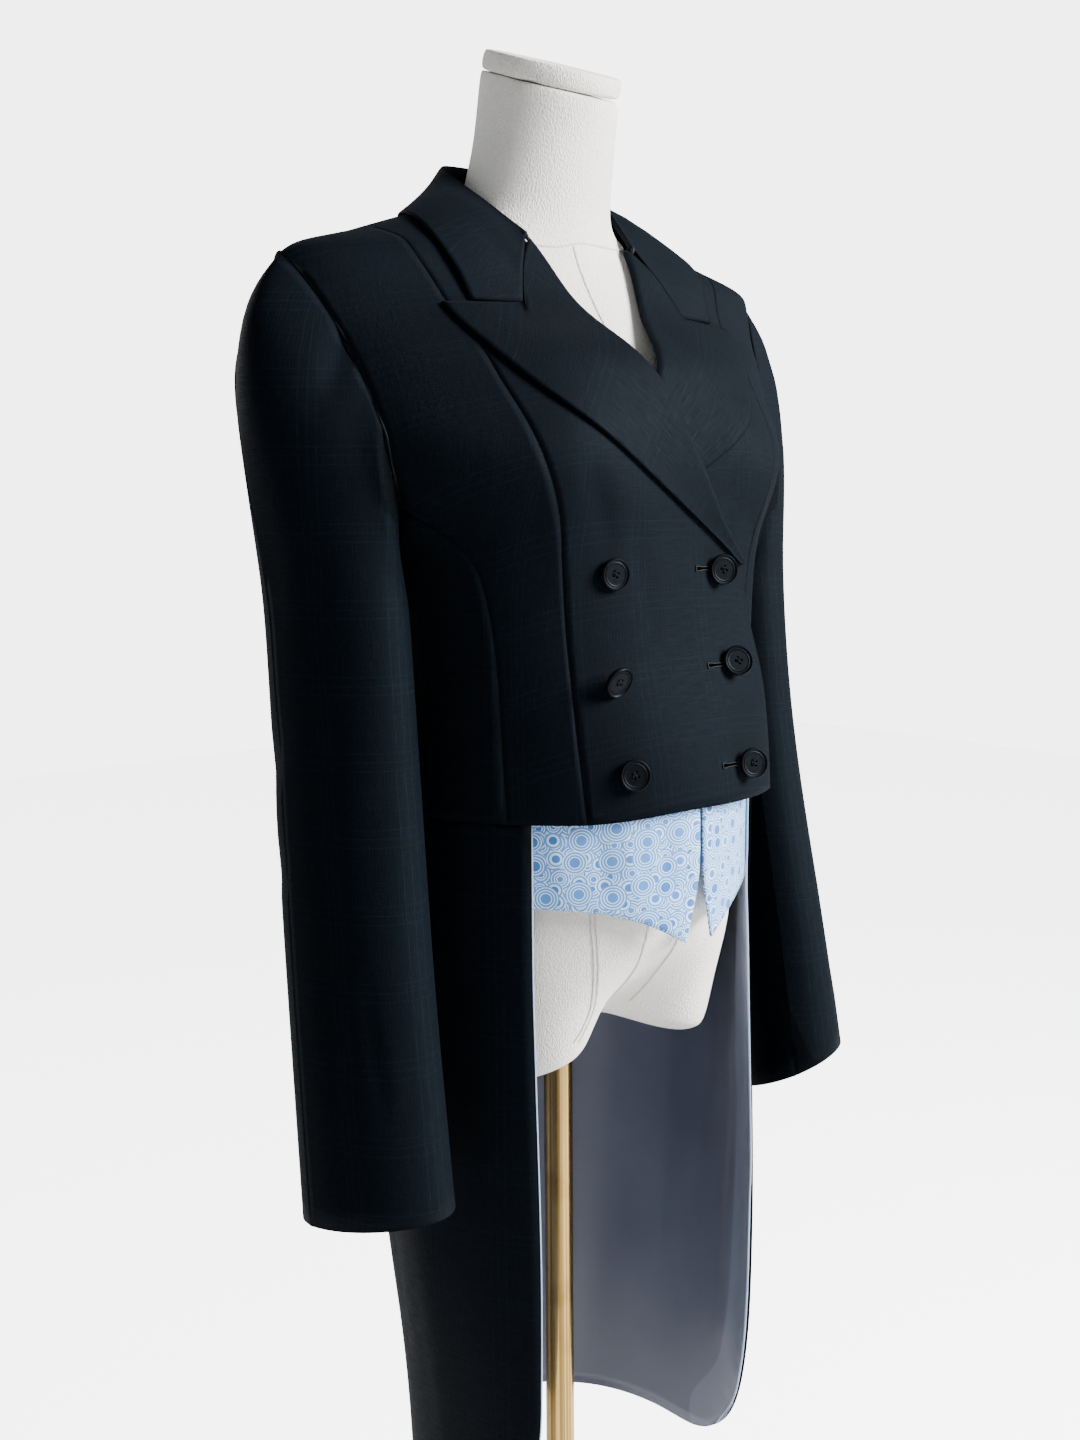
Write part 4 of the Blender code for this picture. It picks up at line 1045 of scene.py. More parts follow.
@dataclass
class Tails:
    """Tail skirts, their satin linings and the piping along the front edges."""

    drape: Drape
    hem: float = 0.470
    waist: float = 0.9965
    pipe: float = 0.00085
    band: float = 0.0075
    gather: float = 0.00035
    gather_length: float = 0.017

    def build(self, finishes: Wardrobe) -> None:
        """Make both tails.

        Args:
            finishes: All finishes.
        """
        for side in Side:
            skirt = Cut("tail_skirt_" + side.word, Slot.WOOL, (0.29, 0.55), 0.1325)
            skirt.build(finishes.wool, self.drape, CoatBody.round_map)
            lining = Cut("tail_lining_" + side.word, Slot.LINING, (0.36, 0.55), 0.1590)
            made = lining.build(finishes.lining, self.drape, CoatBody.round_map)
            path = self.front_edge(made)
            self.mark_edge(made, path)
            self.pucker(made)
            new_piece("tail_piping_" + side.word, *joined([tube(path, self.pipe, 8)]),
                      finishes.piping, Slot.LINING)

    def front_edge(self, lining: bpy.types.Object) -> Points:
        """The lining's front edge, from the waist down and round to the hem.

        Args:
            lining: The finished lining.

        Returns:
            A smooth line.
        """
        points = places_of(lining.data)
        turn = np.abs(turn_of(points))
        levels = np.linspace(self.waist, self.hem, 46)
        near = np.abs(points[None, :, 2] - levels[:, None]) < self.band
        score = np.where(near, turn[None], BEYOND)
        edge = points[np.argmin(score, axis=1)]
        smooth = edge.copy()
        smooth[1:-1] = (edge[:-2] + 2.0 * edge[1:-1] + edge[2:]) / 4.0
        smooth[:, 2] = np.sort(smooth[:, 2])[::-1]
        return spline(smooth[::3], 120)

    @staticmethod
    def mark_edge(lining: bpy.types.Object, path: Points) -> None:
        """Write each point's distance to the front edge as an attribute.

        Args:
            lining: The finished lining.
            path: Its front edge.
        """
        points = places_of(lining.data)[:, None]
        away = np.min(np.linalg.norm(points - path[None], axis=-1), axis=1)
        mark = lining.data.attributes.new("to_edge", "FLOAT", "POINT")
        mark.data.foreach_set("value", away)

    def pucker(self, lining: bpy.types.Object) -> None:
        """Gather the lining a little along its front edge: a wave up the edge, dying inwards.

        Args:
            lining: The lining, with its distances written.
        """
        points = places_of(lining.data)
        away = np.zeros(len(points))
        lining.data.attributes["to_edge"].data.foreach_get("value", away)
        height = points[:, 2]
        wave = np.sin(height * 2.0 * math.pi / self.gather_length + 1.4 * np.sin(height * 31.0))
        fade = ramp(away, 0.0, 0.004) * (1.0 - ramp(away, 0.006, 0.020))
        depth = self.gather * (wave + 1.0) * fade
        moved = points - level_ways(turn_of(points)) * depth[:, None]
        lining.data.vertices.foreach_set("co", moved.ravel())
        lining.data.update()


@dataclass
class Lapels:
    """Peaked lapels, whose checks run square to their outer edge."""

    drape: Drape
    corner: tuple[float, float] = (0.1300, 1.3265)
    slope: float = math.radians(39.6)

    def build(self, finishes: Wardrobe) -> None:
        """Make both lapels.

        Args:
            finishes: All finishes.
        """
        for side, area in ((Side.LEFT, 0.0142), (Side.RIGHT, 0.0168)):
            def layout(points: Points, sign: int = side.value) -> Points:
                """Map along the lapel's edge and square to it.

                Args:
                    points: Rows of x, y and z.
                    sign: The side's sign of X.

                Returns:
                    The map's places.
                """
                back = self.corner[0] - points[:, 0] * sign
                down = self.corner[1] - points[:, 2]
                along = back * math.cos(self.slope) + down * math.sin(self.slope)
                square = down * math.cos(self.slope) - back * math.sin(self.slope)
                return np.stack([along + 0.018, square + 0.0235], -1)
            cut = Cut("lapel_" + side.word, Slot.WOOL, (0.11, 0.25), area)
            cut.build(finishes.wool, self.drape, layout)


@dataclass
class Collar:
    """The collar in one piece round the neck, with a short dark cord under each end: painted shade
    that fills the gap at the gorge.

    The cord rows are x, y and z on the wearer's right, and are mirrored for the left.
    """

    drape: Drape
    stay: Sequence[tuple[float, float, float]] = (
        (-0.0508, -0.0270, 1.3817), (-0.0488, -0.0288, 1.3778), (-0.0474, -0.0297, 1.3744))
    stay_size: float = 0.0017

    @staticmethod
    def layout(points: Points) -> Points:
        """Map round the neck and over the fall, its lines rising a little to the front.

        Args:
            points: Rows of x, y and z.

        Returns:
            The map's places.
        """
        across = turn_of(points) * 0.100
        up = 1.55 * (points[:, 2] + 0.25 * np.abs(points[:, 0]))
        return np.stack([across + 0.0265, up - 0.0090], -1)

    def build(self, finishes: Wardrobe) -> None:
        """Make the collar.

        Args:
            finishes: All finishes.
        """
        cut = Cut("collar", Slot.WOOL, (0.40, 0.12), 0.0325)
        cut.build(finishes.wool, self.drape, self.layout)
        # Dark cords under the collar's ends: painted shade in the gap at the gorge.
        right = spline(self.stay, 16)
        sizes = self.stay_size * np.sin(np.linspace(0.2, math.pi - 0.2, len(right)))
        gorge_shades = [tube(right * np.array([sign, 1.0, 1.0]), sizes, 10) for sign in (1, -1)]
        new_piece("collar_stays", *joined(gorge_shades), finishes.black_thread, Slot.WOOL)


@dataclass
class Sleeves:
    """Two-piece sleeves, with the folds of a hanging arm."""

    heights: Sequence[float] = (0.72, 0.80, 0.90, 1.00, 1.06, 1.125, 1.30)
    middle_x: Sequence[float] = (0.2010, 0.1990, 0.1955, 0.1905, 0.1880, 0.1870, 0.1800)
    middle_y: Sequence[float] = (-0.0570, -0.0455, -0.0300, -0.0150, -0.0070, -0.0010, 0.0060)
    radius: float = 0.045
    near: Sequence[Fold] = (
        Fold((18.0, 1.300), (46.0, 1.266), 0.0120, 0.0034),
        Fold((28.0, 0.905), (23.0, 0.842), 0.0035, 0.0016),
        Fold((23.0, 0.838), (9.0, 0.828), 0.0035, 0.0017),
        Fold((9.0, 0.829), (-2.0, 0.840), 0.0035, 0.0007),
        Fold((14.0, 0.866), (10.0, 0.846), 0.0060, -0.0009),
        Fold((52.0, 1.060), (66.0, 0.790), 0.0120, 0.0022),
        Fold((-20.0, 1.040), (24.0, 1.012), 0.0080, 0.0019),
        Fold((-10.0, 1.004), (30.0, 0.985), 0.0070, 0.0007),
        Fold((150.0, 1.020), (112.0, 1.060), 0.0110, 0.0016),
        Fold((168.0, 0.960), (120.0, 0.975), 0.0100, 0.0013),
        Fold((96.0, 1.250), (104.0, 1.130), 0.0140, 0.0014),
    )
    far: Sequence[Fold] = (
        Fold((20.0, 1.296), (44.0, 1.260), 0.0130, 0.0022),
        Fold((-72.0, 0.930), (-58.0, 0.770), 0.0040, 0.0014),
        Fold((-60.0, 1.020), (-20.0, 0.998), 0.0080, 0.0012),
        Fold((26.0, 0.890), (20.0, 0.830), 0.0045, 0.0009),
        Fold((60.0, 1.050), (56.0, 0.820), 0.0130, 0.0014),
        Fold((158.0, 1.035), (118.0, 1.070), 0.0120, 0.0014),
        Fold((164.0, 0.950), (116.0, 0.930), 0.0100, 0.0016),
        Fold((92.0, 1.240), (100.0, 1.120), 0.0150, 0.0012),
    )

    def axis(self, height: Points) -> Points:
        """Middle of the arm at each height, for the wearer's left."""
        return np.stack([np.interp(height, self.heights, self.middle_x),
                         np.interp(height, self.heights, self.middle_y)], -1)

    def drapes(self) -> dict[Side, Drape]:
        """The folds of each sleeve."""
        return {Side.LEFT: Drape(self.far, self.radius, self.axis, Side.LEFT.value),
                Side.RIGHT: Drape(self.near, self.radius, self.axis, Side.RIGHT.value)}

    def build(self, finishes: Wardrobe) -> None:
        """Make both halves of both sleeves.

        Args:
            finishes: All finishes.
        """
        for side, drape in self.drapes().items():

            def layout(points: Points, drape: Drape = drape) -> Points:
                """Map round the arm and up it.

                Args:
                    points: Rows of x, y and z.
                    drape: The arm's folds and axis.

                Returns:
                    The map's places.
                """
                turn = drape.turns(points)
                turn = np.where(turn < math.radians(-120.0), turn + 2.0 * math.pi, turn)
                return np.stack([turn * self.radius + 0.0105, points[:, 2] - 0.0098], -1)
            for stem, flat, area in (("sleeve_top", (0.19, 0.63), 0.0670),
                                     ("sleeve_under", (0.21, 0.62), 0.0840)):
                cut = Cut(f"{stem}_{side.word}", Slot.WOOL, flat, area)
                cut.build(finishes.wool, drape, layout)


@dataclass
class SeamAllowances:
    """Dark cords under the sleeves' seams and round the armholes: painted shade in the seams' gaps.

    Rows are x, y and z on the wearer's left, and are mirrored for the right.
    """

    armhole: Sequence[tuple[float, float, float]] = (
        (0.1653, 0.0753, 1.2648), (0.1639, 0.0730, 1.2443), (0.1615, 0.0674, 1.2249),
        (0.1557, 0.0586, 1.2075), (0.1509, 0.0474, 1.1928), (0.1490, 0.0348, 1.1817),
        (0.1489, 0.0215, 1.1747), (0.1489, 0.0081, 1.1723), (0.1493, -0.0068, 1.1747),
        (0.1513, -0.0207, 1.1817), (0.1563, -0.0327, 1.1928), (0.1647, -0.0419, 1.2075),
        (0.1736, -0.0477, 1.2249), (0.1782, -0.0482, 1.2441), (0.1814, -0.0393, 1.2645),
        (0.1840, -0.0294, 1.2853), (0.1891, -0.0207, 1.3048), (0.1942, -0.0100, 1.3224),
        (0.2002, -0.0015, 1.3377), (0.2064, 0.0064, 1.3497), (0.2100, 0.0155, 1.3575),
        (0.2088, 0.0235, 1.3559), (0.2047, 0.0330, 1.3497), (0.1979, 0.0442, 1.3377),
        (0.1889, 0.0559, 1.3225), (0.1788, 0.0660, 1.3050), (0.1703, 0.0727, 1.2854))
    seams: Sequence[Sequence[tuple[float, float, float]]] = (
        ((0.1746, -0.0473, 1.2162), (0.1730, -0.0469, 1.1897), (0.1636, -0.0419, 1.1563),
         (0.1577, -0.0399, 1.1250), (0.1586, -0.0485, 1.0317), (0.1627, -0.0618, 0.9403),
         (0.1659, -0.0760, 0.8510), (0.1667, -0.0855, 0.7890), (0.1669, -0.0890, 0.7670)),
        ((0.2106, 0.0394, 1.3365), (0.2317, 0.0383, 1.2838), (0.2292, 0.0272, 1.2022),
         (0.2229, 0.0165, 1.1250), (0.2255, 0.0059, 1.0317), (0.2308, -0.0082, 0.9390),
         (0.2356, -0.0230, 0.8480), (0.2387, -0.0335, 0.7850), (0.2398, -0.0375, 0.7640)))
    hole_size: float = 0.0009
    seam_size: float = 0.0006

    def build(self, finishes: Wardrobe, drapes: dict[Side, Drape]) -> None:
        """Make the cords of both sleeves, moved with their sleeve's folds.

        Args:
            finishes: All finishes.
            drapes: The folds of each sleeve.
        """
        for side in Side:
            mirror = np.array([side.value, 1.0, 1.0])
            hole = spline([*self.armhole, self.armhole[0]], 160)[:-1] * mirror
            parts = [tube(hole, self.hole_size, 8, closed=True)]
            for seam in self.seams:
                path = spline(seam, 90) * mirror
                parts.append(tube(path + drapes[side].shift(path), self.seam_size, 8))
            # Painted shade: dark cords laid in the gaps along the armhole and sleeve seams.
            new_piece("sleeve_allowances_" + side.word, *joined(parts),
                      finishes.black_thread, Slot.WOOL)


@dataclass
class VestPoints:
    """Ring-patterned satin points under the fronts, with hand stitches along the hem."""

    folds: Sequence[Fold] = (
        Fold((-12.0, 1.000), (-9.0, 0.950), 0.0060, 0.0012),
        Fold((-22.0, 1.000), (-18.0, 0.935), 0.0060, -0.0009),
        Fold((-30.0, 1.000), (-27.0, 0.945), 0.0055, 0.0012),
        Fold((-41.0, 1.000), (-38.0, 0.945), 0.0070, -0.0010),
        Fold((9.0, 1.000), (14.0, 0.955), 0.0070, 0.0011),
        Fold((20.0, 0.995), (23.0, 0.945), 0.0060, -0.0009),
        Fold((36.0, 0.985), (33.0, 0.955), 0.0090, 0.0009),
    )
    stitch: float = 0.0013
    stitch_gap: float = 0.0030
    stitch_size: float = 0.00022
    stitch_arch: float = 0.0002
    stitch_place: tuple[float, float] = (0.0006, 0.0012)
    band: float = 0.004

    @staticmethod
    def layout(points: Points) -> Points:
        """Map round the body and up."""
        return np.stack([turn_of(points) * 0.135 + 0.5, points[:, 2]], -1)

    def hem(self, thing: bpy.types.Object) -> Points:
        """The lower edge of a point, from the front to the side.

        Args:
            thing: The finished vest point.

        Returns:
            A smooth line.
        """
        points = places_of(thing.data)
        reach = np.abs(points[:, 0])
        places = np.linspace(reach.min() + 0.014, reach.max() - 0.003, 22)
        near = np.abs(reach[None] - places[:, None]) < self.band
        score = np.where(near, points[None, :, 2], BEYOND)
        return spline(points[np.argmin(score, axis=1)][::3], 90)

    def build(self, finishes: Wardrobe) -> None:
        """Make both points and their stitches.

        Args:
            finishes: All finishes.
        """
        drape = Drape(self.folds)
        share = np.linspace(0.0, 1.0, 5)[:, None]
        out, up = self.stitch_place
        for side in Side:
            cut = Cut("vest_point_" + side.word, Slot.VEST, (0.14, 0.11), 0.0102)
            made = cut.build(finishes.rings, drape, self.layout)
            edge = self.hem(made)
            outward = level_ways(turn_of(edge))
            line = edge + outward * out + np.array([0.0, 0.0, up])
            length = np.sum(np.linalg.norm(np.diff(line, axis=0), axis=1))
            places = np.linspace(0, len(line) - 4, int(length / self.stitch_gap)).astype(int)
            parts = []
            for place in places:
                ends = line[[place, place + 1]]
                way = unit(ends[1] - ends[0]) * self.stitch
                arch = outward[place] * self.stitch_arch * np.sin(math.pi * share)
                parts.append(tube(ends[0] + way * share + arch, self.stitch_size, 6))
            new_piece("vest_stitches_" + side.word, *joined(parts), finishes.blue_thread, Slot.VEST)


@dataclass
class Buttons:
    """Turned buttons with a raised rim, four holes and a crow's foot of thread."""

    radius: float = 0.0105
    thick: float = 0.0036
    well: float = 0.0010
    rim: float = 0.0017
    hole: float = 0.00085
    hole_ring: float = 0.0021
    hole_depth: float = 0.0014
    turns: int = 96
    thread: float = 0.00028
    shank: float = 0.0011
    row_spin: float = 23.0
    left_spin: float = 11.0
    right_spin: float = 47.0

    def place(self, node: str) -> tuple[Points, Points]:
        """Middle of a button's back and its three axes, out of the cloth last.

        Args:
            node: The button's node.

        Returns:
            The place, and rows of unit vectors.
        """
        points = np.unique(np.round(places_of(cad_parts[node].data), 6), axis=0)
        middle = (points.max(axis=0) + points.min(axis=0)) / 2.0
        axes = np.linalg.svd(points - points.mean(axis=0))[2]
        out = axes[2] * (-1.0 if axes[2][1] > 0.0 else 1.0)
        right = unit(np.cross(np.array([0.0, 0.0, 1.0]), out))
        low = float(np.min((points - middle) @ out))
        return middle + out * low, np.stack([right, np.cross(out, right), out])

    def height(self, reach: Points, turn: Points) -> Points:
        """Height of the button's face: a rounded rim, a dished middle and four sunk holes.

        The rim is a bell curve about its crest, the dish is level inside it, and each hole is
        a smooth step down at its own edge.

        Args:
            reach: Distances from its middle.
            turn: Angles round it.

        Returns:
            Heights above the button's back.
        """
        crest = self.radius - self.rim * 0.45
        face = self.thick - self.well * ramp(crest - reach, 0.0, self.rim * 0.75)
        lip = 0.00030 * np.exp(-((reach - (self.radius - self.rim * 1.75)) / 0.00035) ** 2)
        edge = 0.0012 * ramp(reach, crest, self.radius) ** 2
        x = reach * np.cos(turn)
        y = reach * np.sin(turn)
        down = np.zeros_like(x)
        for quarter in range(4):
            angle = math.pi / 4.0 + quarter * math.pi / 2.0
            away = np.hypot(x - self.hole_ring * math.cos(angle),
                            y - self.hole_ring * math.sin(angle))
            down = np.maximum(down, 1.0 - ramp(away, self.hole * 0.75, self.hole * 1.15))
        return face + lip - edge - self.hole_depth * down

    def shape(self) -> tuple[Points, Points]:
        """One button about the origin, its back on the ground.

        Returns:
            Its points and faces.
        """
        fine = np.linspace(0.00004, self.hole_ring + self.hole * 1.4, 30)
        wide = np.linspace(fine[-1], self.radius, 18)[1:]
        reach = np.concatenate([fine, wide])
        turns = full_turn(self.turns)
        across, turn = np.meshgrid(reach, turns, indexing="ij")
        top = np.stack([across * np.cos(turn), across * np.sin(turn),
                        self.height(across, turn)], -1)
        back = np.array([(1.0, 0.55), (0.985, 0.30), (0.93, 0.12), (0.80, 0.0), (0.004, 0.0)])
        rings = turned_rings(back * np.array([self.radius, self.thick]), turns)
        grid = np.concatenate([top, rings])
        return grid.reshape(-1, 3), grid_faces(len(grid), self.turns, ring=True)

    def crow_foot(self) -> list[tuple[Points, Points]]:
        """Three strands from one hole to the others, each arched over the dish.

        Returns:
            Points and faces of each strand.
        """
        angles = math.pi / 4.0 + np.arange(4) * math.pi / 2.0
        holes = np.stack([np.cos(angles), np.sin(angles)], -1) * self.hole_ring
        share = np.linspace(0.0, 1.0, 9)[:, None]
        floor = self.thick - self.well
        strands = []
        for number, end in enumerate((1, 2, 3)):
            way = holes[end] - holes[0]
            bend = np.array([-way[1], way[0]]) * 0.10
            flat = holes[0] + way * share + bend * (number - 1.0) * np.sin(math.pi * share)
            lift = floor - 0.0007 + 0.0012 * np.sin(math.pi * share) ** 0.5
            strands.append(tube(np.concatenate([flat, lift], axis=1), self.thread, 7))
        return strands

    def build(self, finishes: Wardrobe) -> None:
        """Make all six buttons with their threads.

        Args:
            finishes: All finishes.
        """
        points, faces = self.shape()
        for side in Side:
            for row in (1, 2, 3):
                node = f"button_{side.word}_{row}"
                base, axes = self.place(node)
                extra = self.left_spin if side is Side.LEFT else self.right_spin
                spin = math.radians(self.row_spin * row + extra)
                turned = np.array([[math.cos(spin), math.sin(spin), 0.0],
                                   [-math.sin(spin), math.cos(spin), 0.0], [0.0, 0.0, 1.0]])
                axes = turned @ axes
                made = new_piece(f"turned_{node}", points @ axes + base, faces,
                                 finishes.horn, Slot.BUTTON)
                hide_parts(node)
                shank = np.array([[0.0, 0.0, 0.0004], [0.0, 0.0, -0.0004], [0.0, 0.0, -0.0012]])
                parts = [(place @ axes + base, face) for place, face in
                         [*self.crow_foot(), tube(shank, self.shank, 8)]]
                new_piece(f"thread_{node}", *joined(parts), finishes.black_thread, Slot.BUTTON)


@dataclass
class Buttonholes:
    """Worked buttonholes in the upper front, each with a bar and loops at its inner end.

    Rows are the height and the two ends' distance from the centre.
    """

    rows: Sequence[tuple[float, float, float]] = (
        (1.1584, 0.0185, 0.0330), (1.0943, 0.0200, 0.0360), (1.0290, 0.0170, 0.0340))
    half: float = 0.0011
    bar: float = 0.0024
    cord: float = 0.00048
    stitch: float = 0.0011
    rise: float = 0.00016

    def outline(self, row: tuple[float, float, float]) -> Points:
        """A slot's outline, a long loop with round ends that swells at its inner end.

        Args:
            row: One of the rows.

        Returns:
            Rows of x and height.
        """
        height, start, end = row
        turns = full_turn(96)
        middle = (start + end) / 2.0
        reach = (end - start) / 2.0 - self.half
        x = middle + reach * np.clip(np.cos(turns) * 1.6, -1.0, 1.0) + self.half * np.cos(turns)
        swell = 1.0 + 0.7 * (1.0 - ramp(x, start + 0.002, start + 0.006))
        return np.stack([x, height + self.half * swell * np.sin(turns)], -1)

    def stitches(self, row: tuple[float, float, float]) -> Points:
        """A zigzag of thread across the slot, one swing a stitch.

        Args:
            row: One of the rows.

        Returns:
            Rows of x and height.
        """
        height, start, end = row
        x = np.arange(start + 0.0006, end, self.stitch / 2.0)
        swing = np.where(np.arange(len(x)) % 2 == 0, 1.0, -1.0) * self.half * 1.35
        return np.stack([x, height + swing], -1)

    def build(self, finishes: Wardrobe) -> None:
        """Make the three buttonholes on the right front's cloth.

        Args:
            finishes: All finishes.
        """
        tree = caster(bpy.data.objects["cloth_front_right"])
        parts = []
        for row in self.rows:
            bar = np.stack([np.full(9, row[1] + 0.0002),
                            row[0] + np.linspace(-self.bar, self.bar, 9)], -1)
            for flat, closed, size in ((self.outline(row), True, self.cord),
                                       (self.stitches(row), False, self.cord * 0.55),
                                       (bar, False, self.cord * 1.35)):
                starts = np.stack([flat[:, 0], np.full(len(flat), -0.30), flat[:, 1]], -1)
                ways = np.broadcast_to(np.array([0.0, 1.0, 0.0]), starts.shape)
                path = laid_on(tree, starts, ways, self.rise)
                parts.append(tube(path, size, 7, closed))
        new_piece("buttonholes", *joined(parts), finishes.black_thread, Slot.WOOL)


# The form and its stand


@dataclass
class DressForm:
    """Jersey-covered torso with its neck cap and its seams.

    Seams are rows of (degrees round the axis, height) from end to end.
    """

    seams: Sequence[Sequence[tuple[float, float]]] = (
        ((-13.0, 1.3760), (-11.5, 1.360), (-8.0, 1.335), (-3.0, 1.290), (0.0, 1.200), (0.0, 1.050),
         (0.0, 0.960)),
        ((-29.8, 0.990), (-29.1, 0.936), (-27.9, 0.912), (-27.0, 0.889), (-26.6, 0.867),
         (-28.6, 0.8526), (-32.0, 0.840)),
        ((-31.2, 0.990), (-30.5, 0.936), (-29.3, 0.912), (-28.5, 0.889), (-28.3, 0.867),
         (-30.4, 0.8526), (-34.0, 0.841)),
        ((-12.6, 0.990), (-12.4, 0.945), (-12.2, 0.922), (-11.6, 0.899), (-8.5, 0.872),
         (-2.5, 0.850)),
        ((-5.5, 0.990), (-2.0, 0.935), (3.0, 0.9056), (6.6, 0.8843), (12.0, 0.862), (13.5, 0.846)),
        ((180.0, 1.395), (180.0, 1.200), (180.0, 1.000), (180.0, 0.860)),
    )
    neck_ring: Sequence[tuple[float, float]] = (
        (-180.0, 1.402), (-130.0, 1.399), (-87.0, 1.3898), (-75.5, 1.3819), (-66.0, 1.3765),
        (-49.0, 1.3733), (-29.7, 1.3737), (-2.0, 1.3775), (30.0, 1.3775), (60.0, 1.3785),
        (75.5, 1.3819), (87.0, 1.3898), (130.0, 1.399), (180.0, 1.402))
    cord: float = 0.0010

    def laid(self, tree: BVHTree, places: Sequence[tuple[float, float]], count: int) -> Points:
        """A seam's path on the form's surface, sunk by a quarter of its own radius.

        Args:
            tree: The form's surface.
            places: Degrees and heights along the seam.
            count: Points of the path.

        Returns:
            Points along the seam.
        """
        rows = spline(places, count)
        turn = np.radians(rows[:, 0])
        starts = np.stack([RAY_START * np.sin(turn), BODY_CENTRE[1] - RAY_START * np.cos(turn),
                           rows[:, 1]], -1)
        return laid_on(tree, starts, -level_ways(turn), -self.cord * 0.25)

    def build(self, finishes: Wardrobe) -> None:
        """Make the torso, the cap and the seams.

        Args:
            finishes: All finishes.
        """
        made = {}
        for node in ("form_torso", "form_neck_cap"):
            copy = FineCopy(node, Slot.JERSEY)
            made[node] = copy.base("jersey_")
            copy.dress(made[node], finishes.jersey, JERSEY_SHARP)
        tree = caster(made["form_torso"])
        parts = [tube(self.laid(tree, seam, 90), self.cord, 6) for seam in self.seams]
        parts.append(tube(self.laid(tree, self.neck_ring, 160), self.cord, 6))
        # The seam cords take the darker jersey: painted shade along the raised seams.
        new_piece("form_seams", *joined(parts), finishes.jersey_seam, Slot.JERSEY)


@dataclass
class Stand:
    """Brass pole and round base, turned from fine profiles of radius and height."""

    pole: float = 0.0108
    pole_low: float = 0.0303
    pole_high: float = 0.8357
    base: Sequence[tuple[float, float]] = (
        (0.0004, 0.0), (0.1535, 0.0), (0.1548, 0.0006), (0.1550, 0.0020), (0.1550, 0.0058),
        (0.1543, 0.0086), (0.1527, 0.0104), (0.1500, 0.0114), (0.1470, 0.0120),
        (0.0900, 0.0145), (0.0300, 0.0172), (0.0238, 0.0180), (0.0205, 0.0200), (0.0190, 0.0240),
        (0.0184, 0.0285), (0.0178, 0.0296), (0.0165, 0.0300), (0.0004, 0.0300))
    sides: int = 96

    def turned(self, profile: Sequence[tuple[float, float]]) -> tuple[Points, Points]:
        """Carry a profile round the upright axis.

        Args:
            profile: Radius and height, from end to end.

        Returns:
            The points and the faces.
        """
        grid = turned_rings(np.asarray(profile, float), full_turn(self.sides))
        return grid.reshape(-1, 3), grid_faces(len(grid), self.sides, ring=True)

    def build(self, finishes: Wardrobe) -> None:
        """Make the pole and the base.

        Args:
            finishes: All finishes.
        """
        radius, low, high = self.pole, self.pole_low, self.pole_high
        shaft = ((0.0004, low), (radius * 0.97, low), (radius, low + 0.0004),
                 *((radius, low + (high - low) * step / 24.0) for step in range(1, 24)),
                 (radius, high - 0.0004), (radius * 0.97, high), (0.0004, high))
        for name, node, profile in (("turned_pole", "stand_pole", shaft),
                                    ("turned_base", "stand_base", self.base)):
            points, faces = self.turned(profile)
            made = new_piece(name, points, faces, finishes.brass, Slot.BRASS)
            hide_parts(node)


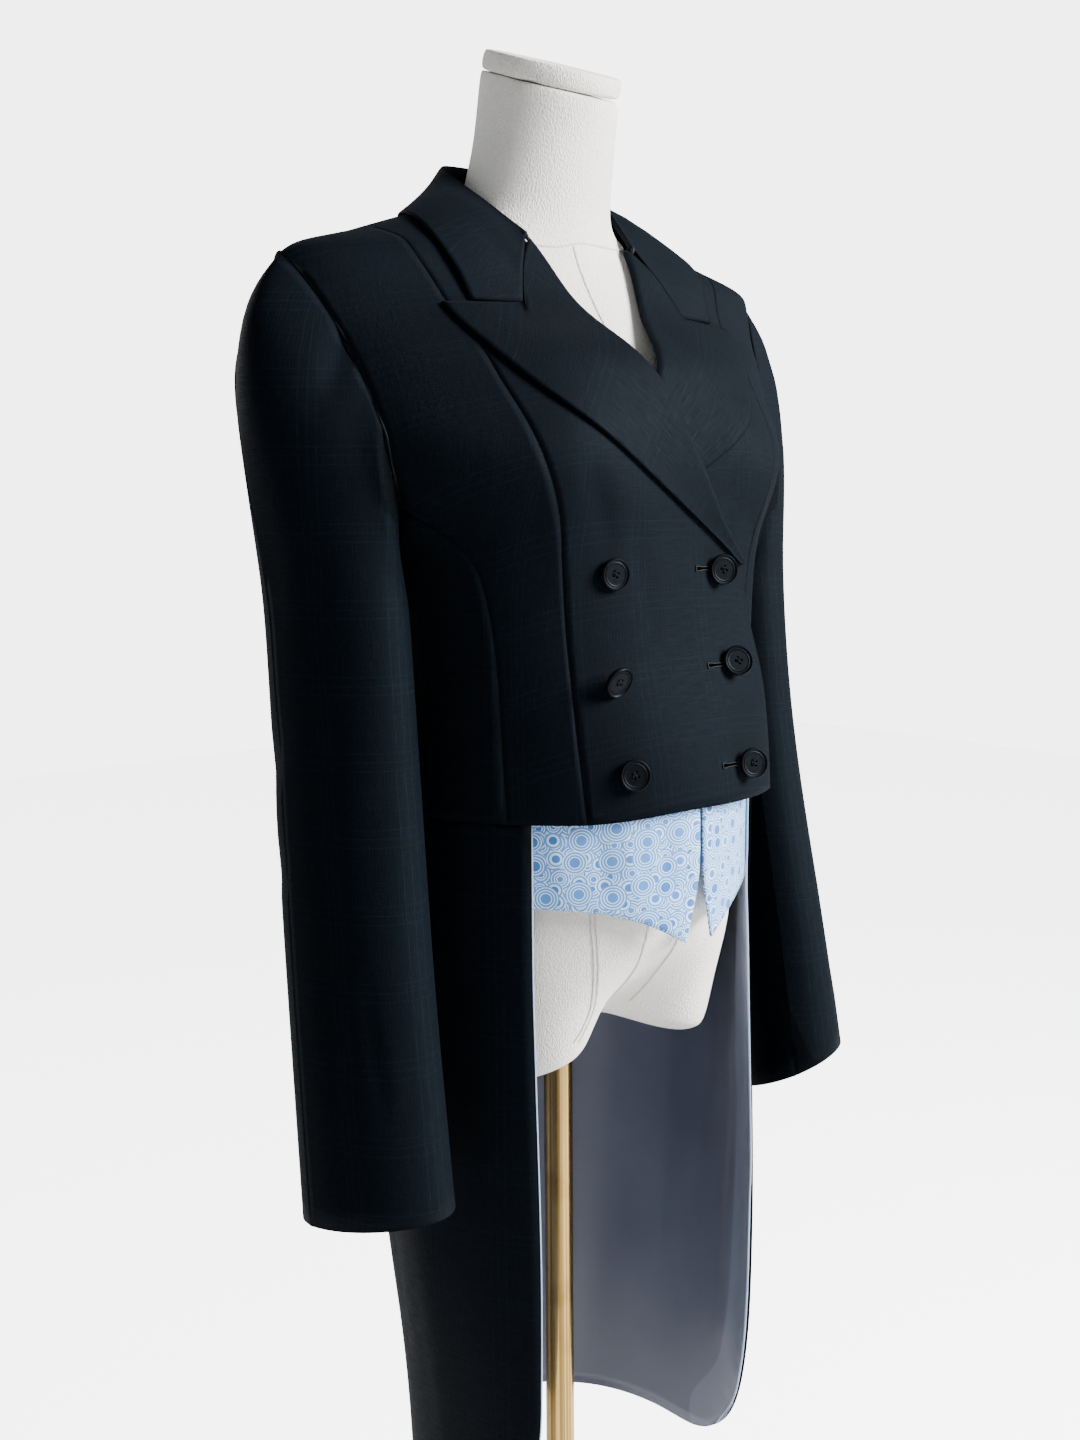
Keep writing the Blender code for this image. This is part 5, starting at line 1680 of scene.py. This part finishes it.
@dataclass
class Studio:
    """Pale floor, soft light and the camera at the photograph's angle."""

    place: tuple[float, float, float] = (-0.7363, -0.8440, 1.2000)
    heading: float = math.radians(40.51)
    pitch: float = math.radians(7.79)
    roll: float = math.radians(0.43)
    focus: float = 1559.0
    photo_height: float = 1440.0
    sensor: float = 36.0
    key_energy: float = 430.0
    fill_energy: float = 6.0
    back_energy: float = 30.0
    ambient: float = 0.34
    backdrop: float = 5.0
    glow: float = 4.2

    def camera(self) -> None:
        """Stand the camera where the photograph was taken from."""
        head, dip = self.heading, self.pitch
        ahead = np.array([math.sin(head) * math.cos(dip), math.cos(head) * math.cos(dip),
                          -math.sin(dip)])
        level = np.array([math.cos(head), -math.sin(head), 0.0])
        above = np.cross(level, ahead)
        right = level * math.cos(self.roll) - above * math.sin(self.roll)
        up = level * math.sin(self.roll) + above * math.cos(self.roll)
        data = bpy.data.cameras.new("camera")
        data.sensor_fit = "VERTICAL"
        data.sensor_height = self.sensor
        data.lens = self.sensor * self.focus / self.photo_height
        data.clip_start = 0.05
        camera = bpy.data.objects.new("camera", data)
        bpy.context.scene.collection.objects.link(camera)
        matrix = np.eye(4)
        matrix[:3, 0], matrix[:3, 1], matrix[:3, 2], matrix[:3, 3] = right, up, -ahead, self.place
        camera.matrix_world = Matrix(matrix.tolist())
        bpy.context.scene.camera = camera

    @staticmethod
    def lamp(name: str, place: Sequence[float], target: Sequence[float], size: float,
             energy: float) -> None:
        """Hang a square soft light that faces a target.

        Args:
            name: The light's name.
            place: Where it hangs.
            target: What it faces.
            size: Its width in metres.
            energy: Its power in watts.
        """
        data = bpy.data.lights.new(name, "AREA")
        data.size = size
        data.energy = energy
        lamp = bpy.data.objects.new(name, data)
        bpy.context.scene.collection.objects.link(lamp)
        lamp.location = place
        way = Vector(target) - Vector(place)
        lamp.rotation_euler = way.to_track_quat("-Z", "Y").to_euler()

    def world(self) -> None:
        """Soft surroundings, and a white backdrop that only the camera sees."""
        world = bpy.data.worlds.new("pale")
        bpy.context.scene.world = world
        world.use_nodes = True
        nodes, links = world.node_tree.nodes, world.node_tree.links
        shine = nodes["Background"]
        shine.inputs["Color"].default_value = (0.90, 0.95, 1.0, 1.0)
        shine.inputs["Strength"].default_value = self.ambient
        seen = nodes.new("ShaderNodeBackground")
        seen.inputs["Color"].default_value = (1.0, 1.0, 1.0, 1.0)
        seen.inputs["Strength"].default_value = self.backdrop
        choice = nodes.new("ShaderNodeMixShader")
        path = nodes.new("ShaderNodeLightPath")
        links.new(path.outputs["Is Camera Ray"], choice.inputs[0])
        links.new(shine.outputs[0], choice.inputs[1])
        links.new(seen.outputs[0], choice.inputs[2])
        links.new(choice.outputs[0], nodes["World Output"].inputs["Surface"])

    def floor(self) -> None:
        """Lay a plain pale floor."""
        graph = Graph("floor")
        seen = graph.node("ShaderNodeLightPath", {}, {}, "Is Camera Ray")
        graph.set(Base_Color=(0.93, 0.93, 0.93), Roughness=0.8, Emission_Strength=self.glow,
                  Emission_Color=graph.mix(seen, (0.0, 0.0, 0.0), (1.0, 1.0, 1.0)))
        corners = np.array([[-6.0, -6.0, 0.0], [6.0, -6.0, 0.0], [6.0, 6.0, 0.0], [-6.0, 6.0, 0.0]])
        mesh = bpy.data.meshes.new("floor")
        mesh.from_pydata(corners.tolist(), [], [[0, 1, 2, 3]])
        mesh.materials.append(graph.material)
        floor = bpy.data.objects.new("floor", mesh)
        bpy.context.scene.collection.objects.link(floor)

    def build(self) -> None:
        """Set up the studio."""
        self.camera()
        self.floor()
        self.world()
        self.lamp("key", (1.55, -2.00, 2.30), (0.0, 0.0, 1.05), 1.3, self.key_energy)
        self.lamp("fill", (-2.2, -0.6, 1.6), (0.0, 0.0, 1.0), 1.6, self.fill_energy)
        self.lamp("back", (-0.4, 2.7, 2.1), (0.0, 0.0, 1.1), 1.6, self.back_energy)


def main() -> None:
    """Build the form, the coat and the studio in order."""
    logging.basicConfig(level=logging.INFO, format="%(name)s: %(message)s")
    finishes = Wardrobe()
    DressForm().build(finishes)
    Stand().build(finishes)
    body = CoatBody()
    body.build(finishes)
    Tails(body.drape).build(finishes)
    Lapels(body.drape).build(finishes)
    Collar(body.drape).build(finishes)
    sleeves = Sleeves()
    sleeves.build(finishes)
    SeamAllowances().build(finishes, sleeves.drapes())
    VestPoints().build(finishes)
    Buttons().build(finishes)
    Buttonholes().build(finishes)
    Studio().build()


if __name__ == "__main__":
    main()
